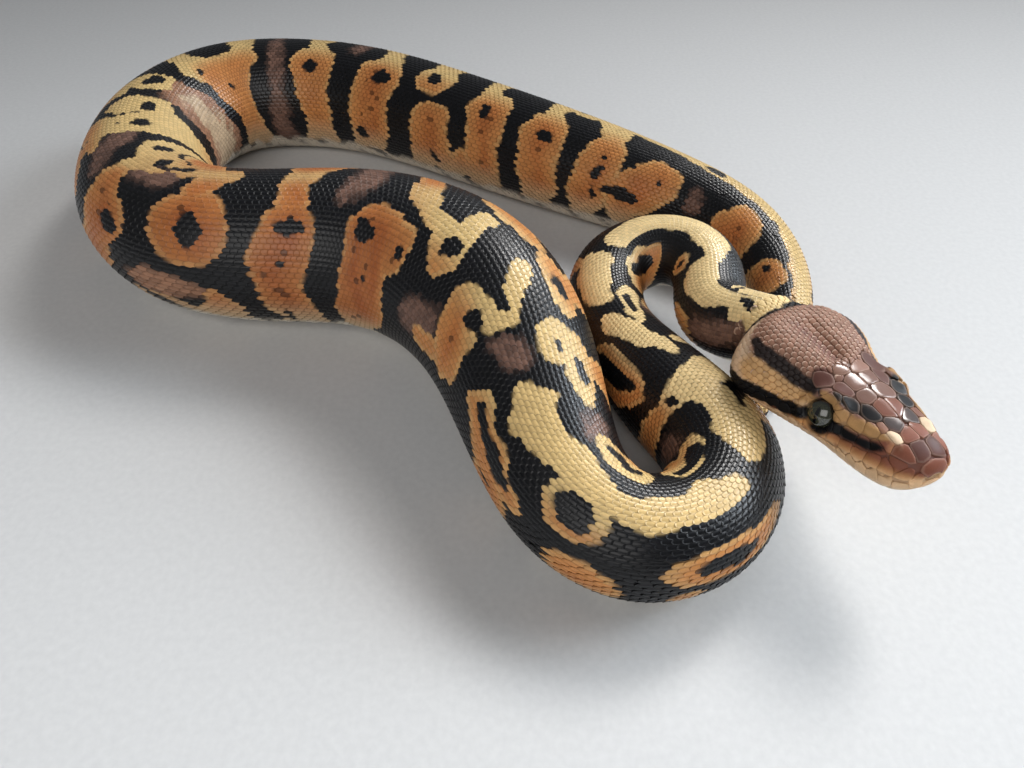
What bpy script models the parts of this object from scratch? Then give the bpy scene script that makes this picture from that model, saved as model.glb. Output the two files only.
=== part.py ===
"""A coiled ball python, life size, as a still museum model.

The body is a tube swept along one spine curve, and the head is a loft along its own axis.
Sizes are in millimetres; X and Y are measured from the middle of the coil, Z from the floor.
Distances along the body start at the nape and grow towards the tip of the tail.
"""
import math

import bmesh
import bpy
import numpy as np
from mathutils import Matrix, Vector

MM = 0.001
GAP = 0.3               # clear space at every cut between two named lengths

# ---- the lie of the body: X, Y and the lift of the belly above the floor ----
ROUTE = (
    (59.6, -36.2, 11.9), (56.8, -32.6, 10.2), (53.8, -27.1, 8.3), (54.3, -18.1, 8.0),
    (52.5, -9.7, 7.4), (45.7, -5.3, 5.4), (38.7, -7.9, 3.2), (36.1, -15.3, 1.5),
    (37.1, -23.7, 0.3), (40.9, -33.5, 0.0), (46.1, -44.1, 0.0), (50.3, -53.5, 0.0),
    (49.5, -60.7, 0.0), (44.1, -67.3, 0.0), (35.7, -68.9, 0.0), (28.2, -63.9, 0.0),
    (23.5, -54.2, 0.0), (20.1, -41.7, 0.0), (14.9, -27.5, 0.0), (5.5, -15.2, 0.0),
    (-10.2, -7.1, 0.0), (-27.7, -5.7, 0.0), (-43.7, -2.2, 0.0), (-56.2, 8.8, 0.0),
    (-63.0, 26.3, 0.0), (-63.2, 45.3, 0.0), (-53.7, 60.8, 0.0), (-36.2, 64.6, 0.0),
    (-15.7, 59.8, 0.0), (6.3, 47.3, 0.0), (30.3, 32.3, 0.0), (51.3, 19.8, 0.0),
    (65.8, 7.8, 0.0), (71.3, -8.2, 0.0), (68.3, -24.2, 0.0), (63.1, -35.2, 0.0),
    (60.7, -40.2, 0.0),
)
# ---- half the width of the body at distances from the nape ----
GIRTH = (
    (0.0, 6.4), (20.0, 6.5), (45.0, 7.2), (66.0, 7.6), (86.0, 9.0), (104.0, 8.9),
    (125.0, 9.3), (152.0, 12.5), (177.0, 15.3), (202.0, 15.2), (235.0, 14.5),
    (280.0, 13.7), (330.0, 13.3), (375.0, 12.6), (415.0, 11.3), (440.0, 9.6),
    (458.0, 7.9), (478.0, 5.4), (496.0, 3.2), (505.0, 1.4),
)
BACK_RISE = 0.99        # height of the back above the axis, in half widths
BELLY_DROP = 0.88       # depth of the flat belly below the axis, in half widths
NAPE_BEND = 8.0         # the length over which the neck turns into the line of the head
SIDES = 24
RING_STEP = 4.2
STEP = 0.5              # spacing of the points that the spine is read at
REACH = 1.5             # a direction is taken between points this far either side
FINE_POINTS = 4000

# ---- the named lengths and where each begins ----
LENGTHS = (
    ("neck_front", 0.0), ("neck_back", 36.0), ("trunk_01", 74.0), ("trunk_02", 108.0),
    ("trunk_03", 140.0), ("trunk_04", 172.0), ("trunk_05", 212.0), ("trunk_06", 252.0),
    ("trunk_07", 292.0), ("trunk_08", 330.0), ("trunk_09", 370.0), ("trunk_10", 410.0),
    ("tail", 455.0),
)

# ---- the head, in its own frame: X to the snout, Y to its left, Z up ----
HEAD_LENGTH = 35.0
HEAD_AT = (67.7, -54.5, 21.2)   # halfway between the eyes
HEADING = -66.0
NOSE_UP = 8.0
LEAN = -4.0                     # its left side lies a little lower
SNOUT = 0.42                    # from the eyes forward to the snout
# distance from the snout, half width, top and bottom, all in head lengths
HEAD_FORM = (
    (0.00, 0.125, 0.000, -0.160), (0.08, 0.148, 0.018, -0.200),
    (0.20, 0.178, 0.050, -0.222), (0.32, 0.194, 0.078, -0.222),
    (0.42, 0.210, 0.097, -0.218), (0.54, 0.245, 0.128, -0.222),
    (0.68, 0.306, 0.162, -0.212), (0.79, 0.328, 0.174, -0.202),
    (0.89, 0.284, 0.168, -0.194), (1.00, 0.183, 0.156, -0.186),
)
SNOUT_ROUND = 0.11               # the snout rounds off within this share of the length
SNOUT_BLUNT = 2.4                # 2 is a round tip, more is blunter
HEAD_SQUARE = 2.2               # 2 is an ellipse, more is squarer
HEAD_SIDES = 32
NOSE_RINGS = (8, 20, 33, 46, 60, 75)    # where the rings of the rounded nose lie, in degrees
HEAD_RINGS = 17                  # from the rounded nose back to the nape
WIDEST_AT = 0.45                # height of the widest level, as a share of the depth
EYE_RADIUS = 2.0
EYE_AT = (0.0, 0.190, -0.015)    # in head lengths, for the left eye
MOUTH_LINE = ((0.60, -0.085), (0.20, -0.105), (0.0, -0.115), (-0.20, -0.105), (-0.36, -0.125))
JAW_BACK = -0.40
CLEAR = 0.6                      # the block that parts the jaw goes this far past the head
EYE_SIDES = 20
EYE_RINGS = 12


def cubic(knots, values, places):
    """A smooth curve with even curvature through the values at the knots."""
    knots = np.asarray(knots, float)
    values = np.asarray(values, float)
    width = np.diff(knots)
    slope = (np.diff(values, axis=0).T / width).T
    n = len(knots)
    system = np.zeros((n, n))
    right = np.zeros(values.shape)
    system[0, 0] = system[-1, -1] = 1.0
    for i in range(1, n - 1):
        system[i, i - 1] = width[i - 1]
        system[i, i] = 2 * (width[i - 1] + width[i])
        system[i, i + 1] = width[i]
        right[i] = 6 * (slope[i] - slope[i - 1])
    bend = np.linalg.solve(system, right)
    i = np.clip(np.searchsorted(knots, places) - 1, 0, n - 2)
    h = width[i]
    a = (knots[i + 1] - places) / h
    b = (places - knots[i]) / h
    if values.ndim == 2:
        h, a, b = h[:, None], a[:, None], b[:, None]
    curve = (a**3 - a) * bend[i] + (b**3 - b) * bend[i + 1]
    return a * values[i] + b * values[i + 1] + curve * h**2 / 6


def head_frame():
    """The head's three directions and the point between its eyes."""
    yaw, pitch, lean = (math.radians(v) for v in (HEADING, NOSE_UP, LEAN))
    turn = Matrix.Rotation(yaw, 3, "Z") @ Matrix.Rotation(-pitch, 3, "Y")
    turn = turn @ Matrix.Rotation(lean, 3, "X")
    return turn, Vector(HEAD_AT)


def head_axis():
    return head_frame()[0] @ Vector((1, 0, 0))


def head_point(x, y, z):
    """A place in the head's frame, in head lengths, as millimetres in the model."""
    turn, between_eyes = head_frame()
    return between_eyes + turn @ (Vector((x, y, z)) * HEAD_LENGTH)


class Spine:
    """The body's axis, read at even steps, with a girth and a frame at every distance."""

    def __init__(self):
        places = np.array(ROUTE)
        strides = np.linalg.norm(np.diff(places[:, :2], axis=0), axis=1)
        knots = np.concatenate([[0.0], np.cumsum(strides)])
        fine = cubic(knots, places, np.linspace(0.0, knots[-1], FINE_POINTS))
        run = self.measure(fine)
        self.length = run[-1]
        self.at = np.arange(0.0, self.length, STEP)
        track = np.stack([np.interp(self.at, run, fine[:, k]) for k in range(3)], axis=1)
        far, wide = np.array(GIRTH).T
        self.half_width = cubic(far * self.length / far[-1], wide, self.at)
        track[:, 2] = np.maximum(track[:, 2], 0.0) + BELLY_DROP * self.half_width
        self.axis = track

    @staticmethod
    def measure(points):
        steps = np.linalg.norm(np.diff(points, axis=0), axis=1)
        return np.concatenate([[0.0], np.cumsum(steps)])

    def place(self, distance):
        return Vector([np.interp(distance, self.at, self.axis[:, k]) for k in range(3)])

    def radius(self, distance):
        return float(np.interp(distance, self.at, self.half_width))

    def frame(self, distance):
        """Directions towards the head, to the left and up."""
        ahead = self.place(distance - REACH) - self.place(distance + REACH)
        ahead.normalize()
        if distance < NAPE_BEND:
            ahead = ahead.lerp(head_axis(), 1 - distance / NAPE_BEND).normalized()
        left = Vector((0, 0, 1)).cross(ahead).normalized()
        return ahead, left, ahead.cross(left)


def body_ring(spine, distance, frame, shift=0.0):
    """One cross-section: a rounded back over a flat belly."""
    ahead, left, up = frame
    centre = spine.place(distance) + ahead * shift
    half = spine.radius(distance)
    ring = []
    for k in range(SIDES):
        angle = 2 * math.pi * k / SIDES
        across = half * math.sin(angle)
        rise = max(half * BACK_RISE * math.cos(angle), -half * BELLY_DROP)
        ring.append(centre + left * across + up * rise)
    return ring


def loft(rings):
    """A closed mesh over rings of points, with a flat lid at each end."""
    shape = bmesh.new()
    rows = [[shape.verts.new(p * MM) for p in ring] for ring in rings]
    sides = len(rows[0])
    for front, back in zip(rows, rows[1:]):
        for k in range(sides):
            m = (k + 1) % sides
            shape.faces.new((front[k], front[m], back[m], back[k]))
    shape.faces.new(list(reversed(rows[0])))
    shape.faces.new(rows[-1])
    bmesh.ops.recalc_face_normals(shape, faces=shape.faces)
    return shape


def finish(name, shape, paint):
    """Turn a bmesh into a smooth-shaded object with its paint."""
    mesh = bpy.data.meshes.new(name)
    shape.to_mesh(mesh)
    shape.free()
    mesh.shade_smooth()
    mesh.set_sharp_from_angle(angle=math.radians(40))
    mesh.materials.append(paint)
    thing = bpy.data.objects.new(name, mesh)
    bpy.context.collection.objects.link(thing)
    return thing


def paint(name, colour, roughness):
    material = bpy.data.materials.new(name)
    material.use_nodes = True
    surface = material.node_tree.nodes["Principled BSDF"]
    surface.inputs["Base Color"].default_value = (*colour, 1.0)
    surface.inputs["Roughness"].default_value = roughness
    surface.inputs["Metallic"].default_value = 0.0
    return material


def body_length(spine, name, start, end):
    """One named length of neck, trunk or tail, set back from each cut by half a gap."""
    count = max(3, math.ceil((end - start) / RING_STEP) + 1)
    rings = []
    for i, distance in enumerate(np.linspace(start, end, count)):
        shift = 0.0
        if i == 0:
            shift = -GAP / 2
        if i == count - 1 and name != "tail":
            shift = GAP / 2
        rings.append(body_ring(spine, distance, spine.frame(distance), shift))
    return finish(name, loft(rings), paint(f"{name}_paint", (0.32, 0.19, 0.07), 0.45))


def head_ring(share):
    """A cross-section of the head at a share of its length behind the snout."""
    stations, *sizes = np.array(HEAD_FORM).T
    half, top, bottom = (float(cubic(stations, s, np.array([share]))[0]) for s in sizes)
    level = bottom + WIDEST_AT * (top - bottom)
    nose = min(share / SNOUT_ROUND, 1.0)
    blunt = (1 - (1 - nose) ** SNOUT_BLUNT) ** (1 / SNOUT_BLUNT)
    ring = []
    for k in range(HEAD_SIDES):
        angle = 2 * math.pi * k / HEAD_SIDES
        across, rise = math.sin(angle), math.cos(angle)
        across = math.copysign(abs(across) ** (2 / HEAD_SQUARE), across) * half
        rise = math.copysign(abs(rise) ** (2 / HEAD_SQUARE), rise)
        rise *= (top - level) if rise > 0 else (level - bottom)
        place = head_point(SNOUT - share, across * blunt, level + rise * blunt)
        ring.append(place)
    return ring


def head_loft():
    nose = [SNOUT_ROUND * (1 - math.cos(math.radians(a))) for a in NOSE_RINGS]
    rest = list(np.linspace(SNOUT_ROUND, 1.0, HEAD_RINGS))
    rings = [head_ring(share) for share in nose + rest]
    turn = head_frame()[0]
    rings[-1] = [p + turn @ Vector((GAP / 2, 0, 0)) for p in rings[-1]]
    return loft(rings)


def cutter(name, shape):
    """A guide body that only cuts others."""
    thing = finish(name, shape, paint(f"{name}_paint", (0.5, 0.5, 0.5), 0.5))
    thing.hide_render = True
    thing.display_type = "WIRE"
    return thing


def cut(thing, tool, operation):
    change = thing.modifiers.new(f"{operation.lower()}_{tool.name}", "BOOLEAN")
    change.object = tool
    change.operation = operation
    change.solver = "EXACT"


def jaw_block(grow):
    """The space below the mouth line and ahead of the jaw joint, widened by a gap."""
    more = grow / HEAD_LENGTH
    outline = [(x, z + more) for x, z in MOUTH_LINE]
    outline[-1] = (JAW_BACK - more, outline[-1][1])
    outline += [(JAW_BACK - more, -CLEAR), (MOUTH_LINE[0][0], -CLEAR)]
    shape = bmesh.new()
    left = [shape.verts.new(head_point(x, CLEAR, z) * MM) for x, z in outline]
    right = [shape.verts.new(head_point(x, -CLEAR, z) * MM) for x, z in outline]
    shape.faces.new(left)
    shape.faces.new(list(reversed(right)))
    for i in range(len(outline)):
        j = (i + 1) % len(outline)
        shape.faces.new((left[i], right[i], right[j], left[j]))
    bmesh.ops.recalc_face_normals(shape, faces=shape.faces)
    return shape


def ball(place, radius):
    shape = bmesh.new()
    bmesh.ops.create_uvsphere(shape, u_segments=EYE_SIDES, v_segments=EYE_RINGS, radius=radius * MM)
    bmesh.ops.translate(shape, verts=shape.verts, vec=place * MM)
    return shape


def head_and_eyes():
    """The upper head and the lower jaw, parted along the mouth, and two eyes in sockets."""
    upper = finish("head", head_loft(), paint("head_paint", (0.16, 0.09, 0.06), 0.35))
    lower = finish("lower_jaw", head_loft(), paint("jaw_paint", (0.55, 0.38, 0.2), 0.4))
    cut(upper, cutter("jaw_space", jaw_block(GAP)), "DIFFERENCE")
    cut(lower, cutter("jaw_keep", jaw_block(0.0)), "INTERSECT")
    x, y, z = EYE_AT
    for side, name in ((1, "eye_left"), (-1, "eye_right")):
        place = head_point(x, side * y, z)
        socket = cutter(f"{name}_socket", ball(place, EYE_RADIUS + GAP))
        cut(upper, socket, "DIFFERENCE")
        finish(name, ball(place, EYE_RADIUS), paint(f"{name}_paint", (0.01, 0.012, 0.01), 0.08))


def main():
    for thing in list(bpy.data.objects):
        bpy.data.objects.remove(thing, do_unlink=True)
    spine = Spine()
    ends = [start for _, start in LENGTHS[1:]] + [spine.length - STEP]
    for (name, start), end in zip(LENGTHS, ends):
        body_length(spine, name, start, end)
    head_and_eyes()


main()
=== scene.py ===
"""Looks for the coiled ball python: one skin, its coat of scales, the plates of the head and two eyes.

Sizes are in millimetres until a mesh is made. Distances along the body start at the nape and grow
towards the tip of the tail. Round the body, 0 degrees is up and plus is the snake's own left.
"""
import math

import bpy
import numpy as np
from mathutils import Matrix, Vector
from mathutils.bvhtree import BVHTree
from numpy.linalg import norm


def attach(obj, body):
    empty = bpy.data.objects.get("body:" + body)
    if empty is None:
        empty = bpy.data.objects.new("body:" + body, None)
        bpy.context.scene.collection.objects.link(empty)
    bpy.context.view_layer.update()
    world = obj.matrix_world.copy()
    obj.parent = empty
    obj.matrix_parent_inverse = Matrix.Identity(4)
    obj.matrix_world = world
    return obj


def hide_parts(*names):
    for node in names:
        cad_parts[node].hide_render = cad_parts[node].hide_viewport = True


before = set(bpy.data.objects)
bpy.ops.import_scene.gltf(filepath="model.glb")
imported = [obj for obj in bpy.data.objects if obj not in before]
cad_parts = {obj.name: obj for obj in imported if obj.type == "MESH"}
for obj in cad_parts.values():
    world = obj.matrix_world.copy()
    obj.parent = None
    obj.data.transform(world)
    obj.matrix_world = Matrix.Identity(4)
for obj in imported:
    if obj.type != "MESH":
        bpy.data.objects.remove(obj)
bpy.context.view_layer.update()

MM = 0.001
RNG_SEED = 11

# ---------------------------------------------------------------- camera and light
EYE_POINT = (18.3, -130.7, 100.0)       # millimetres
LOOK_DOWN = 45.0                        # degrees below the horizon
LENS = 27.04
SENSOR = 36.0


def make_camera():
    lens = bpy.data.cameras.new("camera")
    lens.lens = LENS
    lens.sensor_width = SENSOR
    lens.clip_start = 0.005
    camera = bpy.data.objects.new("camera", lens)
    camera.location = Vector(EYE_POINT) * MM
    camera.rotation_euler = (math.radians(90 - LOOK_DOWN), 0, 0)
    bpy.context.collection.objects.link(camera)
    bpy.context.scene.camera = camera


make_camera()


def soft_light(name, place, aim, size, watts, colour, spread):
    """A rectangular soft light, turned towards a point, in metres. The spread is in degrees."""
    light = bpy.data.lights.new(name, "AREA")
    light.shape = "RECTANGLE"
    light.size, light.size_y = size
    light.energy = watts
    light.color = colour
    light.spread = math.radians(spread)
    lamp = bpy.data.objects.new(name, light)
    lamp.location = place
    lamp.rotation_euler = (Vector(aim) - Vector(place)).to_track_quat("-Z", "Y").to_euler()
    bpy.context.collection.objects.link(lamp)


soft_light("window", (0.68, 0.66, 0.90), (0.12, -0.27, 0), (0.6, 0.45), 0.88, (1.0, 0.98, 0.96), 30)
soft_light("side", (0.75, 0.10, 0.40), (0.08, -0.16, 0.01), (0.5, 0.4), 1.0, (0.84, 0.92, 1.0), 50)
soft_light("fill", (-0.2, -0.75, 0.60), (0, -0.05, 0.01), (0.8, 0.8), 2.5, (1.0, 0.98, 0.96), 130)


def room_light(strength):
    world = bpy.data.worlds.new("room")
    world.use_nodes = True
    inputs = world.node_tree.nodes["Background"].inputs
    inputs["Color"].default_value = (0.93, 0.96, 1.0, 1)
    inputs["Strength"].default_value = strength
    bpy.context.scene.world = world


room_light(0.16)
bpy.context.scene.view_settings.view_transform = "Standard"

# ---------------------------------------------------------------- shader and geometry trees


class Wire:
    """A socket that can be used in a sum: each operator adds one Math node."""

    def __init__(self, board, socket):
        self.board = board
        self.socket = socket

    def sum(self, operation, *parts):
        return self.board.wire("ShaderNodeMath", 0, {"operation": operation}, dict(enumerate(parts)))

    def __add__(self, other):
        return self.sum("ADD", self, other)

    def __sub__(self, other):
        return self.sum("SUBTRACT", self, other)

    def __mul__(self, other):
        return self.sum("MULTIPLY", self, other)

    def clamp(self):
        return self.sum("MAXIMUM", self.sum("MINIMUM", self, 1.0), 0.0)

    def power(self, other):
        return self.sum("POWER", self, other)


class Board:
    """A node tree that nodes are laid out on."""

    def __init__(self, tree):
        self.tree = tree

    def give(self, node, inputs):
        """Sets a node's sockets, each to a value or to the output of another node."""
        for key, value in inputs.items():
            value = getattr(value, "socket", value)
            if isinstance(value, bpy.types.NodeSocket):
                self.tree.links.new(value, node.inputs[key])
            else:
                node.inputs[key].default_value = value

    def node(self, kind, settings=None, inputs=None):
        """Any node: its type, its settings, and the values or links of its sockets."""
        node = self.tree.nodes.new(kind)
        for key, value in (settings or {}).items():
            setattr(node, key, value)
        self.give(node, inputs or {})
        return node

    def wire(self, kind, output, settings=None, inputs=None):
        return Wire(self, self.node(kind, settings, inputs).outputs[output])

    def kept(self, name, output="Color"):
        """What the mesh keeps at each of its places."""
        return self.wire("ShaderNodeAttribute", output, {"attribute_name": name})

    def noise(self, where, scale, detail):
        inputs = {"Vector": where, "Scale": scale, "Detail": detail}
        return self.wire("ShaderNodeTexNoise", "Fac", None, inputs)

    def mix(self, share, first, second):
        """A colour between two colours."""
        first, second = (end if isinstance(end, Wire) else (*end, 1.0) for end in (first, second))
        return self.wire("ShaderNodeMix", 2, {"data_type": "RGBA"}, {0: share, 6: first, 7: second})


def new_material(name):
    material = bpy.data.materials.new(name)
    material.use_nodes = True
    return material, Board(material.node_tree), material.node_tree.nodes["Principled BSDF"]


# ---------------------------------------------------------------- meshes
def grid_faces(rows, columns, closed):
    """Quads over a grid of rows, closed round each row or open."""
    i = np.arange(rows - 1)[:, None]
    j = np.arange(columns if closed else columns - 1)[None, :]
    k = (j + 1) % columns
    corners = (i * columns + j, i * columns + k, (i + 1) * columns + k, (i + 1) * columns + j)
    return np.stack([np.broadcast_to(c, (rows - 1, j.shape[1])) for c in corners], axis=-1).reshape(-1, 4)


def fan(start, count, pole, turned=False):
    """Triangles between a ring of places and a pole, or the same turned over."""
    pairs = [(start + j, start + (j + 1) % count) for j in range(count)]
    return [(b, a, pole) if turned else (a, b, pole) for a, b in pairs]


def keep(mesh, name, kind, field, values):
    """Keeps a value at each of a mesh's places."""
    data = mesh.attributes.new(name, kind, "POINT").data
    data.foreach_set(field, np.asarray(values, np.float32).ravel())


def set_tint(mesh, colours):
    keep(mesh, "tint", "FLOAT_COLOR", "color", np.c_[colours, np.ones(len(colours))])


def add_object(name, mesh):
    thing = bpy.data.objects.new(name, mesh)
    bpy.context.collection.objects.link(thing)
    return thing


def by_corner(values, faces):
    """The values of the places, in the order of the faces' corners."""
    return np.concatenate(values)[np.concatenate([np.asarray(f) for f in faces])]


def mesh_object(name, points, faces, material, colours=None, corners=None):
    """A smooth mesh from places in millimetres, its faces, a colour for each place and the map's corners."""
    mesh = bpy.data.meshes.new(name)
    mesh.from_pydata((points * MM).tolist(), [], faces)
    mesh.shade_smooth()
    if colours is not None:
        set_tint(mesh, colours)
        mesh.uv_layers.new(name="OFBake").data.foreach_set("uv", np.asarray(corners, np.float32).ravel())
    mesh.materials.append(material)
    return add_object(name, mesh)


# ---------------------------------------------------------------- the floor
FLOOR_HALF = 1500.0     # millimetres


def floor_material():
    material, board, surface = new_material("floor")
    speck = board.noise(board.wire("ShaderNodeTexCoord", "Object"), 900.0, 3.0)
    colour = board.mix(speck, (0.53, 0.53, 0.53), (0.63, 0.63, 0.625))
    board.give(surface, {"Base Color": colour, "Roughness": 0.75})
    return material


floor_corners = np.array(((-1, -1, 0), (1, -1, 0), (1, 1, 0), (-1, 1, 0))) * FLOOR_HALF
floor = mesh_object("floor", floor_corners, [(0, 1, 2, 3)], floor_material())

# ---------------------------------------------------------------- the form, as the solids have it
# the middle of the body from the nape to the tip of the tail; the height is that of the belly
ROUTE = (
    (59.6, -36.2, 11.9), (56.8, -32.6, 10.2), (53.8, -27.1, 8.3), (54.3, -18.1, 8.0), (52.5, -9.7, 7.4),
    (45.7, -5.3, 5.4), (38.7, -7.9, 3.2), (36.1, -15.3, 1.5), (37.1, -23.7, 0.3), (40.9, -33.5, 0.0),
    (46.1, -44.1, 0.0), (50.3, -53.5, 0.0), (49.5, -60.7, 0.0), (44.1, -67.3, 0.0), (35.7, -68.9, 0.0),
    (28.2, -63.9, 0.0), (23.5, -54.2, 0.0), (20.1, -41.7, 0.0), (14.9, -27.5, 0.0), (5.5, -15.2, 0.0),
    (-10.2, -7.1, 0.0), (-27.7, -5.7, 0.0), (-43.7, -2.2, 0.0), (-56.2, 8.8, 0.0), (-63.0, 26.3, 0.0),
    (-63.2, 45.3, 0.0), (-53.7, 60.8, 0.0), (-36.2, 64.6, 0.0), (-15.7, 59.8, 0.0), (6.3, 47.3, 0.0),
    (30.3, 32.3, 0.0), (51.3, 19.8, 0.0), (65.8, 7.8, 0.0), (71.3, -8.2, 0.0), (68.3, -24.2, 0.0),
    (63.1, -35.2, 0.0), (60.7, -40.2, 0.0),
)
# distance from the nape and half width there
GIRTH = (
    (0.0, 6.4), (20.0, 6.5), (45.0, 7.2), (66.0, 7.6), (86.0, 9.0), (104.0, 8.9), (125.0, 9.3),
    (152.0, 12.5), (177.0, 15.3), (202.0, 15.2), (235.0, 14.5), (280.0, 13.7), (330.0, 13.3), (375.0, 12.6),
    (415.0, 11.3), (440.0, 9.6), (458.0, 7.9), (478.0, 5.4), (496.0, 3.2), (505.0, 1.4),
)
BACK_RISE = 0.99        # heights above and below the axis against the half width
BELLY_DROP = 0.88
BELLY_ROUND = 0.03      # how softly the flat belly turns into the sides
NAPE_BEND = 8.0         # the length over which the neck turns into the head's line
STEP = 0.5              # between the places at which the axis is kept

HEAD_LENGTH = 35.0
HEAD_AT = (67.7, -54.5, 21.2)           # midway between the eyes
HEADING = -66.0         # degrees
NOSE_UP = 8.0
LEAN = -4.0
SNOUT = 0.42            # how far the snout lies ahead of the eyes, in head lengths
# distance from the snout, half width, top and bottom, all in head lengths
HEAD_FORM = (
    (0.0, 0.125, 0.0, -0.16), (0.08, 0.148, 0.018, -0.2), (0.2, 0.178, 0.05, -0.222),
    (0.32, 0.194, 0.078, -0.222), (0.42, 0.21, 0.097, -0.218), (0.54, 0.245, 0.128, -0.222),
    (0.68, 0.306, 0.162, -0.212), (0.79, 0.328, 0.174, -0.202), (0.89, 0.284, 0.168, -0.194),
    (1.0, 0.183, 0.156, -0.186),
)
SNOUT_ROUND = 0.11      # the snout rounds off within this share of the length
SNOUT_BLUNT = 2.4
HEAD_SQUARE = 2.2       # 2 is an ellipse, and more is squarer
WIDEST_AT = 0.45        # the height of the widest place between bottom and top


def cubic(knots, values, places):
    """A smooth curve with even curvature through the values at the knots."""
    knots = np.asarray(knots, float)
    values = np.asarray(values, float)
    width = np.diff(knots)
    slope = (np.diff(values, axis=0).T / width).T
    n = len(knots)
    system = np.zeros((n, n))
    right = np.zeros(values.shape)
    system[0, 0] = system[-1, -1] = 1.0
    for i in range(1, n - 1):
        system[i, i - 1] = width[i - 1]
        system[i, i] = 2 * (width[i - 1] + width[i])
        system[i, i + 1] = width[i]
        right[i] = 6 * (slope[i] - slope[i - 1])
    bend = np.linalg.solve(system, right)
    i = np.clip(np.searchsorted(knots, places) - 1, 0, n - 2)
    h = width[i]
    a = (knots[i + 1] - places) / h
    b = (places - knots[i]) / h
    if values.ndim == 2:
        h, a, b = h[:, None], a[:, None], b[:, None]
    curve = (a**3 - a) * bend[i] + (b**3 - b) * bend[i + 1]
    return a * values[i] + b * values[i + 1] + curve * h**2 / 6


def unit(rows):
    return rows / np.maximum(norm(rows, axis=-1, keepdims=True), 1e-12)


def ease(x, low, high):
    """0 below low, 1 above high, and smooth between."""
    t = np.clip((x - low) / (high - low), 0.0, 1.0)
    return t * t * (3 - 2 * t)


def wrap(angle):
    """The same angle between -180 and 180 degrees."""
    return (angle + 180.0) % 360.0 - 180.0


def running(steps):
    """The sum of the steps so far, from 0."""
    return np.concatenate([[0.0], np.cumsum(steps)])


def curve(table, places):
    """Values at places on a smooth curve through a table of (place, value)."""
    return cubic(*np.array(table, float).T, places)


def between(table, places):
    """Values at places on the straight lines through a table of (place, value)."""
    return np.interp(places, *np.array(table).T)


def blend(first, second, share):
    share = np.asarray(share)[..., None]
    return first * (1 - share) + np.asarray(second) * share


def head_turn():
    yaw, pitch, lean = (math.radians(v) for v in (HEADING, NOSE_UP, LEAN))
    turn = Matrix.Rotation(yaw, 3, "Z") @ Matrix.Rotation(-pitch, 3, "Y")
    return np.array(turn @ Matrix.Rotation(lean, 3, "X"))


TURN = head_turn()


def head_place(points):
    """Places in the head's frame, in head lengths, as millimetres in the model."""
    return np.array(HEAD_AT) + np.asarray(points) * HEAD_LENGTH @ TURN.T


class Spine:
    """The body's axis, read at even steps, with a girth and a frame at every distance."""

    def __init__(self):
        places = np.array(ROUTE)
        strides = norm(np.diff(places[:, :2], axis=0), axis=1)
        knots = running(strides)
        fine = cubic(knots, places, np.linspace(0.0, knots[-1], 4000))
        run = running(norm(np.diff(fine, axis=0), axis=1))
        self.length = run[-1]
        self.at = np.arange(0.0, self.length, STEP)
        track = np.stack([np.interp(self.at, run, fine[:, k]) for k in range(3)], axis=1)
        far, wide = np.array(GIRTH).T
        self.half_width = cubic(far * self.length / far[-1], wide, self.at)
        track[:, 2] = np.maximum(track[:, 2], 0.0) + BELLY_DROP * self.half_width
        self.axis = track
        reach = 1.5
        ahead = unit(self.place(self.at - reach) - self.place(self.at + reach))
        share = np.clip(1 - self.at / NAPE_BEND, 0, 1)[:, None]
        ahead = unit(ahead * (1 - share) + TURN[:, 0] * share)
        left = unit(np.cross((0, 0, 1), ahead))
        self.frames = np.stack([left, np.cross(ahead, left)], axis=1)

    def place(self, distance):
        return np.stack([np.interp(distance, self.at, self.axis[:, k]) for k in range(3)], axis=-1)

    def radius(self, distance):
        return np.interp(distance, self.at, self.half_width)

    def sideways(self, distance):
        """Directions to the left and up."""
        rows = [[np.interp(distance, self.at, self.frames[:, i, k]) for k in range(3)] for i in (0, 1)]
        return (unit(np.stack(row, axis=-1)) for row in rows)

    def surface(self, distance, angle):
        """Points of the outer form at distances along and angles round, in degrees."""
        left, up = self.sideways(distance)
        half = self.radius(distance)[..., None]
        turn = np.radians(angle)[..., None]
        rise = soft_floor(BACK_RISE * np.cos(turn))
        return self.place(distance) + half * (left * np.sin(turn) + up * rise)


def soft_floor(rise):
    """The back's curve, laid on the flat belly with a small round instead of a corner."""
    over = (rise + BELLY_DROP) / BELLY_ROUND
    return -BELLY_DROP + BELLY_ROUND * (np.log1p(np.exp(-np.abs(over))) + np.maximum(over, 0))


spine = Spine()
# distance, and how far the back has turned from straight up there, in degrees
ROLL = ((0, 0), (150, 0), (190, 2), (215, 5), (250, 3), (290, -6), (330, -12), (400, -14), (440, -25),
        (470, -34), (500, -38))


def roll(distance):
    """How far the back has turned from straight up, in degrees."""
    return curve(ROLL, np.asarray(distance, float))


def head_sections(share):
    """Half width, top, widest level, bottom and the snout's rounding at shares of the head's length."""
    stations, *sizes = np.array(HEAD_FORM).T
    half, top, bottom = (cubic(stations, s, share) for s in sizes)
    nose = np.clip(share / SNOUT_ROUND, 0, 1)
    blunt = (1 - (1 - nose) ** SNOUT_BLUNT) ** (1 / SNOUT_BLUNT)
    return half, top, bottom + WIDEST_AT * (top - bottom), bottom, blunt


def signed_power(value, power):
    return np.sign(value) * np.abs(value) ** power


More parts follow.
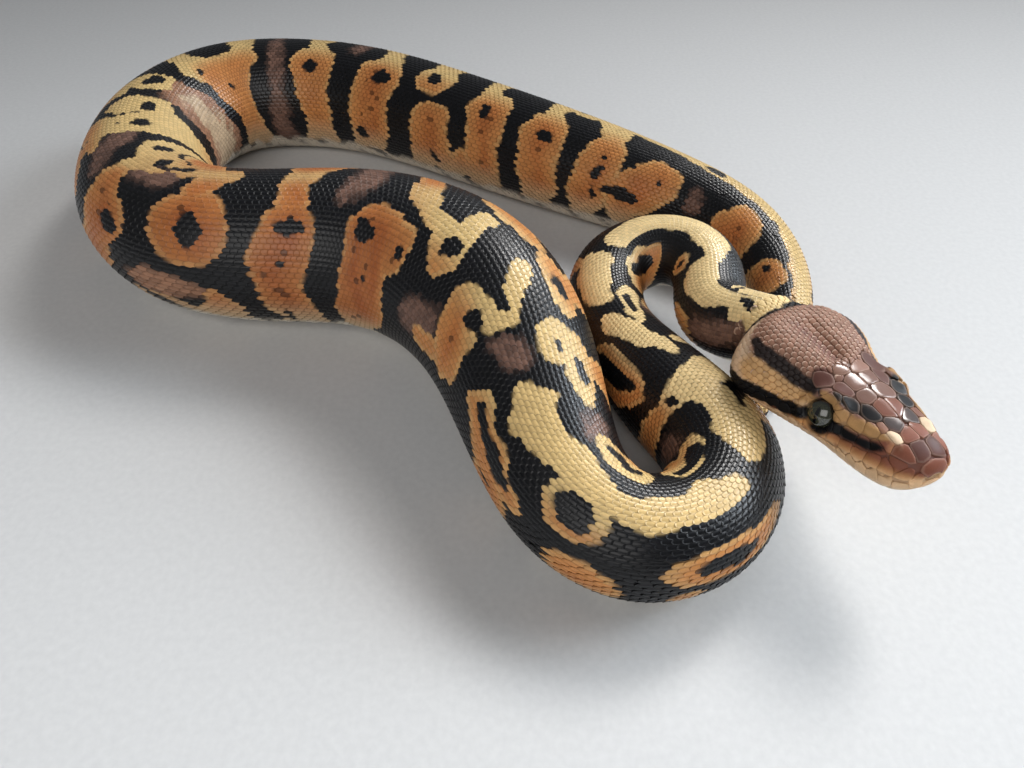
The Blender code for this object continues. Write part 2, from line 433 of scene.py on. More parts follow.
def head_ring_points(share, angle):
    """The head's form at shares of its length behind the snout, in head lengths."""
    share, angle = np.broadcast_arrays(np.asarray(share, float), np.asarray(angle, float))
    half, top, level, bottom, blunt = head_sections(share)
    turn = np.radians(angle)
    across = signed_power(np.sin(turn), 2 / HEAD_SQUARE) * half
    rise = signed_power(np.cos(turn), 2 / HEAD_SQUARE)
    rise = rise * np.where(rise > 0, top - level, level - bottom)
    return np.stack([SNOUT - share, across * blunt, level + rise * blunt], axis=-1)


def head_where(points):
    """The share and the degrees round of places in the model, in millimetres."""
    local = (points - np.array(HEAD_AT)) @ TURN / HEAD_LENGTH
    share = np.clip(SNOUT - local[..., 0], 0.002, 1.0)
    half, top, level, bottom, _ = head_sections(share)
    rise = local[..., 2] - level
    rise = rise / np.where(rise > 0, top - level, level - bottom)
    across, rise = (signed_power(part, HEAD_SQUARE / 2) for part in (local[..., 1] / half, rise))
    return share, np.degrees(np.arctan2(across, rise))


def angle_at(share, height):
    """The degrees round on the plus side where the head's form is at a height in head lengths."""
    _, top, level, bottom, blunt = head_sections(share)
    rise = (height - level) / np.where(height > level, top - level, level - bottom) / blunt
    return np.degrees(np.arccos(signed_power(np.clip(rise, -1, 1), HEAD_SQUARE / 2)))


# ---------------------------------------------------------------- the markings
# A path is (distance, degrees round, half width) at each point; an oval is (distance, degrees round,
# half length, half degrees). Distances and widths are in millimetres.
LIGHT_PATHS = (
    ((-1.0, -30, 1.2), (0, -32, 2.4), (2, -29, 2.7), (5, -20, 2.0), (8, -26, 2.4), (11, -30, 2.8),
     (14, -27, 3.1), (16.5, -24, 3.0), (20, 0, 2.1), (26, 6, 3.1), (32, 5, 3.2), (39, 4, 3.1),
     (44, 1, 2.7)),
    ((-1.0, -48, 1.0), (-1.2, -30, 1.2), (-1.1, -10, 1.2), (-0.2, 6, 1.4), (2, 12, 1.8), (4.5, 12, 1.2)),
    ((-2.3, -6, 0.5), (-0.6, -8, 1.2)),
    ((7.4, 8, 0.6), (6.8, 30, 0.9)),
    ((11.5, -96, 1.8), (11, -128, 1.6)),
    ((35, -78, 2.4), (41, -84, 3.2), (46, -96, 3.0), (44, -120, 2.0), (43, -138, 1.6)),
    ((34, -68, 2.0), (40, -56, 1.7), (47, -44, 1.5), (52, -45, 2.1), (54, -55, 2.6), (50, -70, 3.2),
     (46, -88, 3.2)),
    ((58.5, -24, 1.3), (60, -12, 1.1), (66, -6, 1.0), (70, -5, 0.9), (67, -14, 1.3), (63, -24, 1.5),
     (59, -27, 1.2)),
    ((51.2, 12, 2.3), (51.6, 28, 2.5), (58.4, 29, 2.5), (59.4, 19, 2.3), (53, 16, 2.6)),
    ((67.5, 24, 2.3), (71, 17, 2.4), (75, 8, 2.3), (79, -6, 1.7)),
    ((70, 57, 1.2), (76, 50, 1.3), (81, 49, 1.3), (83, 60, 1.1), (82, 73, 1.2), (78, 84, 1.5),
     (72, 92, 1.5)),
    ((88, 47, 1.6), (87.6, 30, 2.0), (87, 8, 2.5), (86, -16, 3.0), (85.6, -46, 3.0)),
    ((87, 2, 2.4), (93, 2, 2.8), (98, -3, 3.4), (99.5, -13, 3.0), (96, -19, 2.2)),
    ((107.5, -16, 2.0), (111, -8, 2.6), (118, -17, 2.2), (124, -15, 2.3), (130, -7, 2.8), (136, -15, 2.7),
     (141.5, -1, 1.8)),
    ((136, -15, 2.7), (142, -14, 2.4), (138.5, -27, 1.6)),
    ((133, -72, 1.8), (136, -60, 1.3), (141, -51, 1.4), (145.5, -44, 1.3), (146, -55, 1.5),
     (142, -67, 1.8), (137, -78, 2.6), (136, -92, 3.6), (138, -104, 3.2), (137, -118, 2.6)),
    ((156.5, -12, 2.2), (160, 0, 2.2), (164.5, 13, 1.5)),
    ((157, -20, 2.4), (161, -32, 4.0), (158, -50, 4.6), (156, -66, 3.6)),
    ((160.5, -73, 1.6), (167, -79, 2.0)),
    ((175.3, 12, 1.9), (174.6, -4, 2.4), (171.5, -30, 2.4), (171.8, -36, 2.0), (175, -26, 1.9),
     (176.5, -16, 1.8)),
    ((190.3, 34, 1.8), (188.5, 18, 2.0), (187, 2, 2.4), (182, -12, 2.0), (177, -14, 2.2)),
    ((185, -44, 5.6), (192, -42, 6.2), (190, -62, 7.6), (191.5, -84, 8.4), (196, -103, 6.2),
     (199, -124, 3.2)),
    ((204.5, 28, 1.4), (209.5, 24, 4.6), (210.5, 10, 3.6), (211.5, -8, 2.9), (211, -20, 3.4)),
    ((211.5, -44, 5.4), (213.5, -62, 5.6), (214, -82, 4.6), (213, -104, 4.4), (210, -122, 3.6),
     (214, -128, 2.6)),
    ((229.5, -14, 2.2), (227.5, -4, 3.2), (225, 6, 2.4)),
    ((230, 12, 3.0), (236, 4, 2.6), (241, 6, 3.6), (247, 12, 4.0), (250.5, 24, 4.2), (251, 40, 3.8),
     (251.6, 58, 3.2), (253, 76, 2.8)),
    ((229, 6, 1.6), (236, 6, 1.4), (244, 4, 3.2), (246, -10, 2.6), (247, -24, 2.6), (246, -42, 4.2)),
    ((231, 22, 2.6), (238, 32, 2.8), (243, 44, 3.0)),
    ((245, -58, 6.0), (245.5, -74, 4.2), (248, -96, 4.6)),
    ((225.6, -98, 2.0), (225, -112, 3.2), (225.5, -130, 4.6)),
    ((235.5, -106, 0.6), (233, -112, 1.2), (230.5, -118, 1.6), (228, -124, 2.4)),
    ((239, -116, 1.6), (238, -130, 2.8)),
    ((274, -8, 4.0), (274, 16, 4.6), (270.5, 34, 5.4), (266, 50, 5.0), (264, 66, 4.4), (264, 84, 3.8),
     (266, 104, 3.0)),
    ((268.5, -42, 3.0), (266, -20, 3.4), (264.5, 0, 4.6), (264, 20, 5.2), (264, 40, 5.2), (262, 60, 4.2)),
    ((286, 5, 4.5), (286.5, -14, 3.2), (285, -36, 2.2)),
    ((298, 8, 2.6), (299, 22, 5.4), (302, 38, 7.6), (305, 52, 9.2), (305.7, 66, 8.2), (306.8, 82, 7.6),
     (309.5, 100, 6.6), (314, 120, 5.2), (318, 138, 4.0)),
    ((300, -22, 1.8), (299, -6, 2.2), (298, 8, 2.4)),
    ((315, -16, 3.0), (314.6, 6, 2.9), (313, 26, 4.8), (309, 42, 6.0)),
    ((334, 34, 6.2), (335, 58, 5.2), (337, 84, 4.4), (337, 112, 4.8), (331, 138, 3.2)),
    ((334.5, 14, 3.2), (333.5, 0, 2.2), (334, -28, 2.6)),
    ((354, 34, 6.4), (353.5, 60, 6.2), (354, 86, 6.0), (353, 112, 5.0), (348, 138, 3.0)),
    ((355, 14, 3.2), (354, 0, 2.4), (352.5, -26, 2.6)),
    ((369, 6, 3.2), (368.5, -8, 3.2), (367.5, -28, 4.4)),
    ((372, 62, 5.0), (372.6, 80, 5.6), (370, 104, 3.4), (369, 136, 3.0)),
    ((372, 86, 5.0), (378, 108, 3.0), (382, 96, 3.0), (386, 106, 3.0)),
    ((385.3, 30, 5.2), (386.5, 54, 4.4), (387.5, 84, 4.0), (388, 112, 4.4), (386, 138, 3.2)),
    ((384, 12, 2.8), (383, 0, 2.0), (382.6, -28, 2.6)),
    ((399.8, 34, 5.2), (400, 60, 4.6), (401.5, 90, 4.4), (401, 112, 3.6), (398, 138, 3.2)),
    ((400.2, 14, 2.6), (399, 2, 1.6), (400, -20, 3.4)),
    ((414.5, 36, 4.4), (414, 62, 4.6), (413, 88, 4.4), (412, 112, 2.8), (411, 140, 2.2)),
    ((427, 44, 5.2), (423, 66, 5.6), (421.5, 88, 3.8), (422.5, 112, 2.2), (421, 140, 2.0)),
    ((415, 16, 2.0), (414.5, 2, 3.0), (412, -30, 5.0)),
    ((404, -14, 1.2), (410, -30, 3.4), (418, -36, 3.2), (428, -30, 3.3), (436, -24, 3.4), (444, -26, 3.4),
     (453, -36, 3.2), (461, -35, 3.2), (470, -32, 2.8), (480, -36, 2.2), (490, -38, 1.4), (500, -38, 0.8)),
    ((449.5, 24, 2.0), (449.5, 40, 4.8), (450, 58, 6.4), (451, 90, 5.0), (450, 128, 2.4)),
    ((465, 30, 2.8), (465, 48, 4.6), (465, 80, 4.2), (464, 118, 2.4)),
    ((478, 34, 1.6), (478, 60, 2.2), (477, 110, 1.8)),
    ((488, 40, 1.0), (488, 90, 1.4)),
)
LIGHT_OVALS = (
    (16, 86, 2.6, 19), (21.5, -61, 2.7, 20), (106.5, 40, 9.2, 18), (125.5, 32, 7.8, 17),
    (126.5, -39, 4.1, 20), (111, -69, 7.2, 18), (123.8, -97, 3.3, 24), (115.4, -108, 1.5, 12),
    (146, 33, 7.0, 13), (150.3, 19, 4.2, 16), (161.5, 38, 6.8, 13), (175, 38, 6.6, 14),
    (228.5, -44, 6.2, 29), (457, -32, 4.0, 10), (368.6, 16, 5.0, 20), (261.3, -31, 3.3, 9),
)
DARK_PATHS = (
    ((37, -71, 1.2), (43, -64, 1.9), (50.5, -49, 1.0)),
    ((61, -18, 0.9), (66, -12, 0.8)),
    ((71, 72, 1.4), (76, 67, 2.0), (80.4, 60, 1.4)),
    ((91.3, -31, 0.5), (90.8, -21, 0.5)),
    ((122, 31, 0.8), (130, 33, 0.8)),
    ((134.5, -66, 1.3), (140, -60, 1.2), (145, -50, 1.0)),
    ((103, 36, 2.0), (107, 32, 1.0), (112, 32, 0.6)),
    ((214.3, -108, 0.7), (214.6, -122, 1.0)),
    ((233, 9, 0.8), (238, 2, 1.0), (241, 4, 0.8)),
    ((236, -12, 2.2), (240, -26, 2.2)),
    ((0.2, -31, 0.5), (1.6, -22, 0.9), (3.2, -19, 0.6)),
    ((162.5, -14, 0.8), (159.8, -11, 1.3), (158.2, -10, 1.3)),
    ((417.5, 72, 1.2), (423.5, 72, 1.3)),
    ((414.4, 84, 0.8), (413.6, 74, 0.6)),
    ((413.6, 62, 0.9), (414.8, 54, 0.9)),
    ((372.6, 90, 0.5), (374.5, 104, 1.0)),
    ((257.2, 4, 1.6), (257, 22, 1.1), (256.6, 40, 0.9), (256.8, 60, 0.8), (258, 84, 0.7)),
    ((291, 31, 1.6), (294, 44, 2.2), (295, 60, 2.3), (297, 73, 2.0), (299.5, 88, 1.7), (302, 105, 1.3)),
    ((276.5, 34, 1.3), (273.4, 48, 1.1), (270, 62, 1.0), (269, 84, 0.9)),
    ((192, -41, 1.8), (194.5, -38, 1.6)),
    ((209, -42, 1.0), (211.5, -41, 1.5), (213.8, -42, 0.8)),
)
DARK_OVALS = (
    (16, 88, 0.9, 8), (2, -20, 0.8, 6), (21.3, -60, 0.8, 9), (88, 40, 1.0, 7), (126.8, -38, 2.4, 12),
    (111.5, -69, 3.0, 8), (145.6, 35, 2.3, 4.5), (150.2, 20, 1.5, 4.5), (161.2, 38, 2.0, 5),
    (158.2, -10, 1.5, 5), (157.6, -31, 2.1, 7), (173.2, -20, 2.2, 8), (182, -43.5, 1.1, 3),
    (228.4, -46, 2.5, 13), (242.6, -58, 2.6, 8), (249.2, 22, 1.9, 8), (241.2, 6, 1.8, 7),
    (273.2, 14, 2.2, 7.5), (264.6, 12, 1.9, 7.5), (265, -7, 0.5, 3), (287, 3, 2.2, 8), (307, 3, 5.2, 10),
    (298.4, 25, 1.2, 4), (304.6, 52, 1.2, 2), (333.6, 34, 2.2, 8), (355, 32, 2.6, 8), (368.5, 14, 1.8, 9),
    (384.6, 34, 1.5, 8), (400.3, 38, 2.2, 8), (414.6, 38, 0.8, 4), (428, 46, 0.8, 4), (463.6, 40, 0.9, 6),
    (351, 96, 1.8, 6), (436.5, -16, 2.4, 8), (138, -88, 0.7, 3), (214, -68, 0.5, 3), (190.6, -72, 0.6, 3),
    (420.4, 34, 1.6, 5),
)
BROWN_PATHS = (
    ((0, -76, 2.4), (8, -86, 2.0)),
    ((94, 72, 2.6), (100, 70, 2.2)),
    ((134, 26, 2.2), (136, 34, 2.0)),
    ((149, -12, 2.4), (152, -22, 1.6)),
    ((165, -64, 3.2), (172, -74, 3.2)),
    ((199, 22, 2.6), (198.5, 0, 3.0), (201, -14, 2.2)),
    ((236, -8, 2.4), (242, -12, 2.2)),
    ((258, -4, 2.6), (256, -18, 3.0), (253, -30, 2.8)),
    ((323, -20, 1.4), (323.5, 30, 2.0), (324, 60, 2.4), (324, 100, 3.4), (326, 134, 3.6)),
    ((344, 2, 1.4), (345, -22, 1.6)),
    ((437, 44, 1.6), (437, 56, 1.6)),
    ((64, -46, 1.6), (70, -52, 1.6)),
)
# A washed-out patch like those on the belly, low on the inside of the left bend.
SMOKE_PATHS = (
    ((285, 34, 5.0), (284.5, 48, 8.0), (284, 62, 9.4), (285, 80, 10.6), (288, 100, 11.5), (291, 122, 10.0)),
    ((237.5, -95, 2.4), (234.5, -93, 3.3), (231, -93, 2.8), (229, -92, 1.8)),
)
# On the sides turned away: the distance of each blotch and its side, plus for the snake's left.
FAR_BLOTCHES = (
    (33, 1), (62, -1), (77, -1), (93, -1), (262, -1), (279, -1), (296, -1), (313, -1), (331, -1),
    (349, -1), (366, -1), (383, -1), (400, -1), (417, -1), (432, -1), (446, -1), (459, -1), (471, -1),
    (482, -1), (491, -1),
)
FAR_DROP = 62.0         # degrees round from the back to the middle of such a blotch's head
LOW_COLUMNS = (51, 88, 106, 125.5, 147, 161.5, 175, 192, 209, 229)     # low on the left side of the front


def far_marks():
    """The same kind of blotches for the sides that the visible marks don't reach."""
    draw = np.random.default_rng(RNG_SEED)
    light, dark, ovals, spots = [], [], [], []
    for at in LOW_COLUMNS:
        size = float(spine.radius(at)) / 14.0
        lean = draw.uniform(-2.0, 2.0) * size
        light.append(((at, 50, 2.4 * size), (at + lean, 78, 4.4 * size), (at + lean, 112, 4.6 * size),
                      (at + lean * 2, 136, 2.6 * size)))
    for at, side in FAR_BLOTCHES:
        size = float(np.clip(spine.radius(at) / 14.0, 0.25, 1.1))
        head = side * (FAR_DROP + draw.uniform(-5, 5))
        lean = draw.uniform(-2.5, 2.5) * size
        ovals.append((at, head, 5.6 * size, 22 + draw.uniform(-3, 4)))
        light.append(((at, head, 4.6 * size), (at + lean, head + side * 26, 4.0 * size),
                      (at + lean * 1.5, side * 118, 4.8 * size), (at + lean * 2, side * 136, 2.6 * size)))
        kind = draw.integers(0, 4)
        if kind < 2:
            spots.append((at + draw.uniform(-1, 1) * size, head - side * 2, 2.2 * size, 8))
        elif kind == 2:
            spots.append((at - 2 * size, head, 1.5 * size, 6))
            spots.append((at + 2.2 * size, head + side * 3, 1.3 * size, 5))
        if draw.random() < 0.4:
            light.append(((at, head, 2.6 * size), (at - lean, head - side * 36, 2.0 * size)))
        if draw.random() < 0.5:
            dark.append(((at + lean, side * 112, 0.6 * size), (at + lean * 2, side * 134, 1.2 * size)))
    return light, dark, ovals, spots


def path_depth(path, distance, angle, scale):
    """How deep each place lies inside a path, in millimetres; below 0 is outside."""
    depth = np.full(distance.shape, -99.0)
    for (s0, a0, w0), (s1, a1, w1) in zip(path, path[1:]):
        ds, da = s1 - s0, (a1 - a0) * scale
        ps, pa = distance - s0, (angle - a0) * scale
        t = np.clip((ps * ds + pa * da) / (ds * ds + da * da), 0, 1)
        gap = np.hypot(ps - t * ds, pa - t * da)
        depth = np.maximum(depth, w0 + (w1 - w0) * t - gap)
    return depth


def oval_depth(oval, distance, angle, scale):
    at, turn, long, wide = oval
    ps, pa = distance - at, (angle - turn) * scale
    reach = wide * scale
    off = np.hypot(ps / long, pa / reach)
    return (1 - off) * np.minimum(long, reach)


def wobble(distance, across, size, seed):
    """Smooth uneven waves between -1 and 1 on the skin's own shape."""
    draw = np.random.default_rng(seed)
    total = np.zeros(distance.shape)
    for _ in range(6):
        way, phase = draw.uniform(0, 2 * math.pi, 2)
        pace = draw.uniform(0.7, 1.5) * 2 * math.pi / size
        total += np.sin((distance * math.cos(way) + across * math.sin(way)) * pace + phase)
    return total / 3.0


def deepest(paths, ovals, distance, angle, scale):
    """The greatest depth inside any of the marks."""
    depth = np.full(distance.shape, -99.0)
    reach = 9.0
    for marks, measure in ((paths, path_depth), (ovals, oval_depth)):
        for mark in marks:
            at = [p[0] for p in mark] if measure is path_depth else [mark[0] - mark[2], mark[0] + mark[2]]
            near = np.nonzero((distance > min(at) - reach) & (distance < max(at) + reach))[0]
            if len(near):
                here = measure(mark, distance[near], angle[near], scale[near])
                depth[near] = np.maximum(depth[near], here)
    return depth


BLACK = (0.0042, 0.0043, 0.0056)
BROWN = (0.198, 0.108, 0.078)
CREAM = (0.66, 0.46, 0.195)
TAN = (0.57, 0.245, 0.076)
RUST = (0.44, 0.135, 0.036)
PALE = (0.66, 0.50, 0.30)
SMOKE = (0.51, 0.37, 0.235)
FAWN = (0.330, 0.165, 0.095)
NECK_CREAM = (0.78, 0.58, 0.285)
BELLY = (0.74, 0.67, 0.55)
FRONT_PAINTED_SHADE = (0.80, 0.69, 0.66)     # painted shade: how much darker the colours of the trunk in front are made, for the weaker light falling on it
FLANK_END = 126.0       # degrees from the back where the belly's colour begins
FAR_LIGHT, FAR_DARK, FAR_OVALS, FAR_SPOTS = (tuple(marks) for marks in far_marks())
LIGHT_MARKS = (LIGHT_PATHS + FAR_LIGHT, LIGHT_OVALS + FAR_OVALS)
DARK_MARKS = (DARK_PATHS + FAR_DARK, DARK_OVALS + FAR_SPOTS)


def body_colours(distance, angle, grain, sharp=0.35):
    """The base colour at places along and round the body. grain is one random number for each place."""
    distance, angle = np.asarray(distance, float), wrap(np.asarray(angle, float))
    scale = spine.radius(distance) * math.pi / 180
    across = angle * scale
    from_back = np.abs(wrap(angle - roll(distance)))

    def waves(size, seed):
        return wobble(distance, across, size, seed)

    def grainy(colour, least, spread):
        return np.asarray(colour) * (least + spread * grain[:, None])

    def everywhere(colour):
        return np.tile(colour, (len(distance), 1))

    s = distance + 0.45 * waves(7.0, 1)
    a = angle + 0.45 * waves(7.0, 2) / scale
    light, dark, brown, smoke = (deepest(paths, ovals, s, a, scale) for paths, ovals in
                                 (LIGHT_MARKS, DARK_MARKS, (BROWN_PATHS, ()), (SMOKE_PATHS, ())))
    cut = 1 - ease(dark, -sharp, sharp)
    colour = grainy(everywhere(BLACK), 0.7, 0.6)
    patch = ease(brown + 0.8 * (grain - 0.5), -1.2, 1.4)
    colour = blend(colour, BROWN, patch * (0.55 + 0.45 * grain))
    colour = blend(colour, grainy(FAWN, 0.75, 0.4), cut * ease(smoke + 0.8 * (grain - 0.5), -0.5, 1.0))
    # where along the body the tone changes: the near bend, the neck, the left bend and the nape
    front = ease(distance, 176, 192) * (1 - ease(distance, 236, 256))
    fore = 1 - ease(distance, 148, 168)
    bend = ease(distance, 236, 250) * (1 - ease(distance, 290, 299)) * ease(angle, -20, 4)
    nape = 24 * (1 - ease(distance, 8, 20))
    start = 14 - 14 * front + 18 * fore + 40 * bend + nape
    flank = ease(from_back, start, 42 - 24 * front + 16 * fore + 60 * bend + nape)
    low = ease(from_back, 96, 132)
    # painted shade on the trunk in front: its colours scaled down where less light falls
    deep = 1 - front[:, None] * (1 - np.array(FRONT_PAINTED_SHADE))
    cream = blend(everywhere(NECK_CREAM), CREAM, ease(distance, 84, 108))
    tone = blend(cream * deep, TAN * deep, flank)
    heart = flank * (1 - low) * ease(light, 1.0 - 0.6 * front, 4.2) * (0.75 + 0.25 * waves(9.0, 3))
    behind = ease(distance, 286, 300) * (1 - ease(distance, 330, 350))
    heart = heart * (1 - 0.7 * bend) * (1 - 0.55 * behind)
    tone = blend(tone, RUST * deep, np.clip(heart * 0.85, 0, 1))
    tone = blend(tone, CREAM, (0.40 - 0.15 * front) * (1 - ease(light, 0.2, 1.0)) * flank)
    tone = grainy(blend(tone, PALE, low * 0.8), 0.90, 0.20)
    tone[(heart > 0.45) & (grain > 0.955)] *= 0.35       # single dark scales
    colour = blend(colour, grainy(SMOKE, 0.85, 0.3), cut * ease(smoke + 1.6 * waves(5.0, 6), 3.0, 7.0))
    colour = blend(colour, tone, cut * ease(light, -sharp, sharp))
    belly = ease(from_back + 4.0 * waves(12.0, 4), FLANK_END, FLANK_END + 10)
    smudge = ease(waves(6.0, 5), 0.45, 0.8) * ease(from_back, 175, 130)
    return blend(colour, grainy(blend(everywhere(BELLY), BLACK, 0.8 * smudge), 0.93, 0.1), belly)


# ---------------------------------------------------------------- the head's relief
# Places on the head are (share of its length behind the snout, degrees round from its middle line).
MIDDLE_LINE = ((0.0, 0.0), (0.2, -2.0), (0.45, -5.0), (0.7, -6.0), (0.88, -3.0), (1.0, 0.0))
# share, height
MOUTH_LINE = ((0.00, -0.097), (0.22, -0.105), (0.42, -0.115), (0.62, -0.105), (0.78, -0.125))
MOUTH_END = 0.76
JOIN_SHARE = 0.84       # the head's form turns into the neck's from here back
EYE_BALL = 2.2          # radius in millimetres
EYE_PLACE = (0.0, 0.178, -0.024)
# each: height and softness in millimetres, and the line that it follows on both sides
RELIEF = (
    (0.34, 2.3, ((0.60, 30), (0.74, 28), (0.82, 26))),        # the jaw muscles' swellings on the crown
    (-0.50, 1.4, ((0.57, -2), (0.66, -3), (0.76, -4))),       # the furrow between them
    (-0.30, 1.2, ((0.50, 52), (0.60, 56))),                   # the dip behind the eye
    (0.62, 1.15, ((0.47, 50), (0.42, 47), (0.36, 47))),       # the brow
    (0.34, 0.85, ((0.33, 46), (0.25, 42), (0.17, 34))),       # the ridge from the brow to the nostril
    (-0.16, 1.4, ((0.34, 12), (0.22, 10))),                   # the flat of the snout
    (-0.42, 0.95, ((0.335, 70), (0.26, 68), (0.19, 62))),     # the hollow before the eye
    (0.30, 0.75, ((0.125, 34), (0.155, 30))),                 # the swelling behind the nostril
    (0.20, 0.8, ((0.04, 84), (0.20, 86), (0.40, 92), (0.60, 94))),   # the upper lip
    (-0.75, 0.36, ((0.117, 42), (0.127, 44.5))),              # the nostril
    (-0.20, 0.45, ((0.10, 179), (0.50, 179))),                # the groove of the chin
    (0.22, 1.3, ((0.70, 92), (0.80, 96))),                    # the corner of the jaw
)
# pits of the lips: share, millimetres above the mouth line, softness
PITS = ((0.040, 1.3, 0.30), (0.085, 1.3, 0.32), (0.135, 1.3, 0.32), (0.185, 1.3, 0.30), (0.235, 1.2, 0.26),
        (0.44, -1.0, 0.24), (0.49, -1.0, 0.26), (0.54, -1.0, 0.26), (0.59, -1.0, 0.24))
PIT_DEPTH = -0.42
GROOVE_DEPTH = -0.50
GROOVE_WIDTH = 0.20
EYE_RIM = 0.50          # the skin swells this far round the eye
RIM_AT = 2.8            # from the eye's middle
RIM_SOFT = 0.75
SOCKET_DEPTH = 1.1      # the skin dips this far behind the eye
SOCKET_EDGE = (1.5, 2.25)


def middle(share):
    """Where the head's middle line runs, in degrees round the form."""
    return between(MIDDLE_LINE, share)


def mouth_height(share):
    """The height of the mouth line in head lengths."""
    return between(MOUTH_LINE, share)


def off_middle(share, angle):
    """Degrees from the head's middle line."""
    return np.abs(wrap(angle - middle(share)))


def head_track(marks, side):
    """Places of (share, degrees from the middle line) on one side, in millimetres in the head's frame."""
    at, turn = np.array(marks, float).T[:2]
    return head_ring_points(at, side * turn + middle(at)) * HEAD_LENGTH


def line_distance(places, line, widths=None):
    """Distance from each place to a line, less the line's half width where it has one."""
    best = np.full(places.shape[:-1], 1e9)
    widths = np.zeros(len(line)) if widths is None else widths
    if len(line) == 1:
        return norm(places - line[0], axis=-1) - widths[0]
    for a, b, w0, w1 in zip(line, line[1:], widths, widths[1:]):
        way = b - a
        t = np.clip(((places - a) @ way) / max(way @ way, 1e-9), 0, 1)
        gap = norm(places - a - t[..., None] * way, axis=-1)
        best = np.minimum(best, gap - w0 - (w1 - w0) * t)
    return best


def along_line(places, marks, side, soft):
    """1 on a line of the head, falling off softly beside it."""
    return np.exp(-(line_distance(places, head_track(marks, side)) / soft) ** 2)


def eye_centre(side):
    x, y, z = EYE_PLACE
    return np.array((x, side * y, z)) * HEAD_LENGTH


def lip_angle(share, rise):
    """Degrees round at a height in millimetres above the mouth line."""
    return angle_at(share, mouth_height(share) + rise / HEAD_LENGTH)


def head_relief(share, angle):
    """The height of the folds and ridges over the plain form, in millimetres."""
    share, angle = np.broadcast_arrays(np.asarray(share, float), np.asarray(angle, float))
    places = head_ring_points(share, angle) * HEAD_LENGTH
    height = np.zeros(share.shape)
    pit_at, pit_rise, pit_size = np.array(PITS).T
    pit_turn = lip_angle(pit_at, pit_rise)
    for side in (1, -1):
        for rise, soft, line in RELIEF:
            height += rise * along_line(places, line, side, soft)
        for at, turn, soft in zip(pit_at, pit_turn, pit_size):
            hole = head_ring_points(at, side * turn) * HEAD_LENGTH
            height += PIT_DEPTH * np.exp(-(norm(places - hole, axis=-1) / soft) ** 2)
        off = places - eye_centre(side)
        ring = np.hypot(off[..., 0], off[..., 2])
        near = np.where(side * places[..., 1] > 0, 1.0, 0.0)
        height += near * EYE_RIM * np.exp(-((ring - RIM_AT) / RIM_SOFT) ** 2)
        height -= near * SOCKET_DEPTH * (1 - ease(ring, *SOCKET_EDGE))
    groove = places[..., 2] - mouth_height(share) * HEAD_LENGTH
    run = 1 - ease(share, MOUTH_END - 0.06, MOUTH_END)
    return height + GROOVE_DEPTH * np.exp(-(groove / GROOVE_WIDTH) ** 2) * run


def head_surface(share, angle):
    """The outer form of the head, easing into the neck behind the jaws, in millimetres."""
    share, angle = np.asarray(share, float), np.asarray(angle, float)
    head = head_place(head_ring_points(share, angle))
    neck = spine.surface(np.zeros(share.shape), angle) + TURN[:, 0] * ((1 - share) * HEAD_LENGTH)[..., None]
    return blend(head, neck, ease(share, JOIN_SHARE, 1.0))


def head_shape(share, angle):
    """The head with its relief and the plain form's normals, in millimetres in the model."""
    step_s, step_a = 1e-3, 0.2
    share = np.clip(share, 2e-3, None)
    along = head_surface(share + step_s, angle) - head_surface(share - step_s, angle)
    around = head_surface(share, angle + step_a) - head_surface(share, angle - step_a)
    normal = unit(np.cross(around, along))
    return head_surface(share, angle) + normal * head_relief(share, angle)[..., None], normal


# ---------------------------------------------------------------- the head's colours
NAPE_SHARE = 0.895      # the crown's colour ends here
CROWN = (0.268, 0.141, 0.094)
# the furrow's colour: partly the crown's own redder tone, partly painted shade in the crease
FURROW_RED_AND_SHADE = (0.140, 0.056, 0.042)
FURROW = ((0.56, -3), (0.66, -3.4), (0.75, -5))
# painted highlight: the glint on the raised rear edges of the scales
PAINTED_TIP_GLINT = (0.640, 0.460, 0.360)
CHEEK = (0.650, 0.475, 0.325)
TEMPLE = (0.600, 0.360, 0.165)
LIP = (0.500, 0.240, 0.085)
LIP_EDGE = (0.680, 0.450, 0.260)
SNOUT_RED = (0.205, 0.070, 0.042)
CROWN_FRONT = (0.185, 0.093, 0.068)
PLATE_RED = (0.110, 0.046, 0.036)
UMBER = (0.050, 0.034, 0.032)
# the dark stripe along the crown's edge, lifted above black as painted sheen of its glinting scales
STRIPE_WITH_SHEEN = (0.022, 0.015, 0.014)
# painted shade: the dark inside of the nostril's opening, laid in a shallow dent
NOSTRIL_PAINTED_SHADE = (0.030, 0.010, 0.007)
NOSTRIL_RIM = (0.420, 0.190, 0.095)
NASAL = (0.740, 0.560, 0.380)
CANTHAL = (0.440, 0.250, 0.105)
THROAT = (0.780, 0.680, 0.520)
LABIAL_SPOT = (0.300, 0.120, 0.060)
LIP_SPOTS = (0.30, 0.37, 0.44, 0.52, 0.59)      # shares
CROWN_EDGE = ((0.76, 56), (0.843, 42), (0.868, 33), (0.905, 20))       # share, degrees
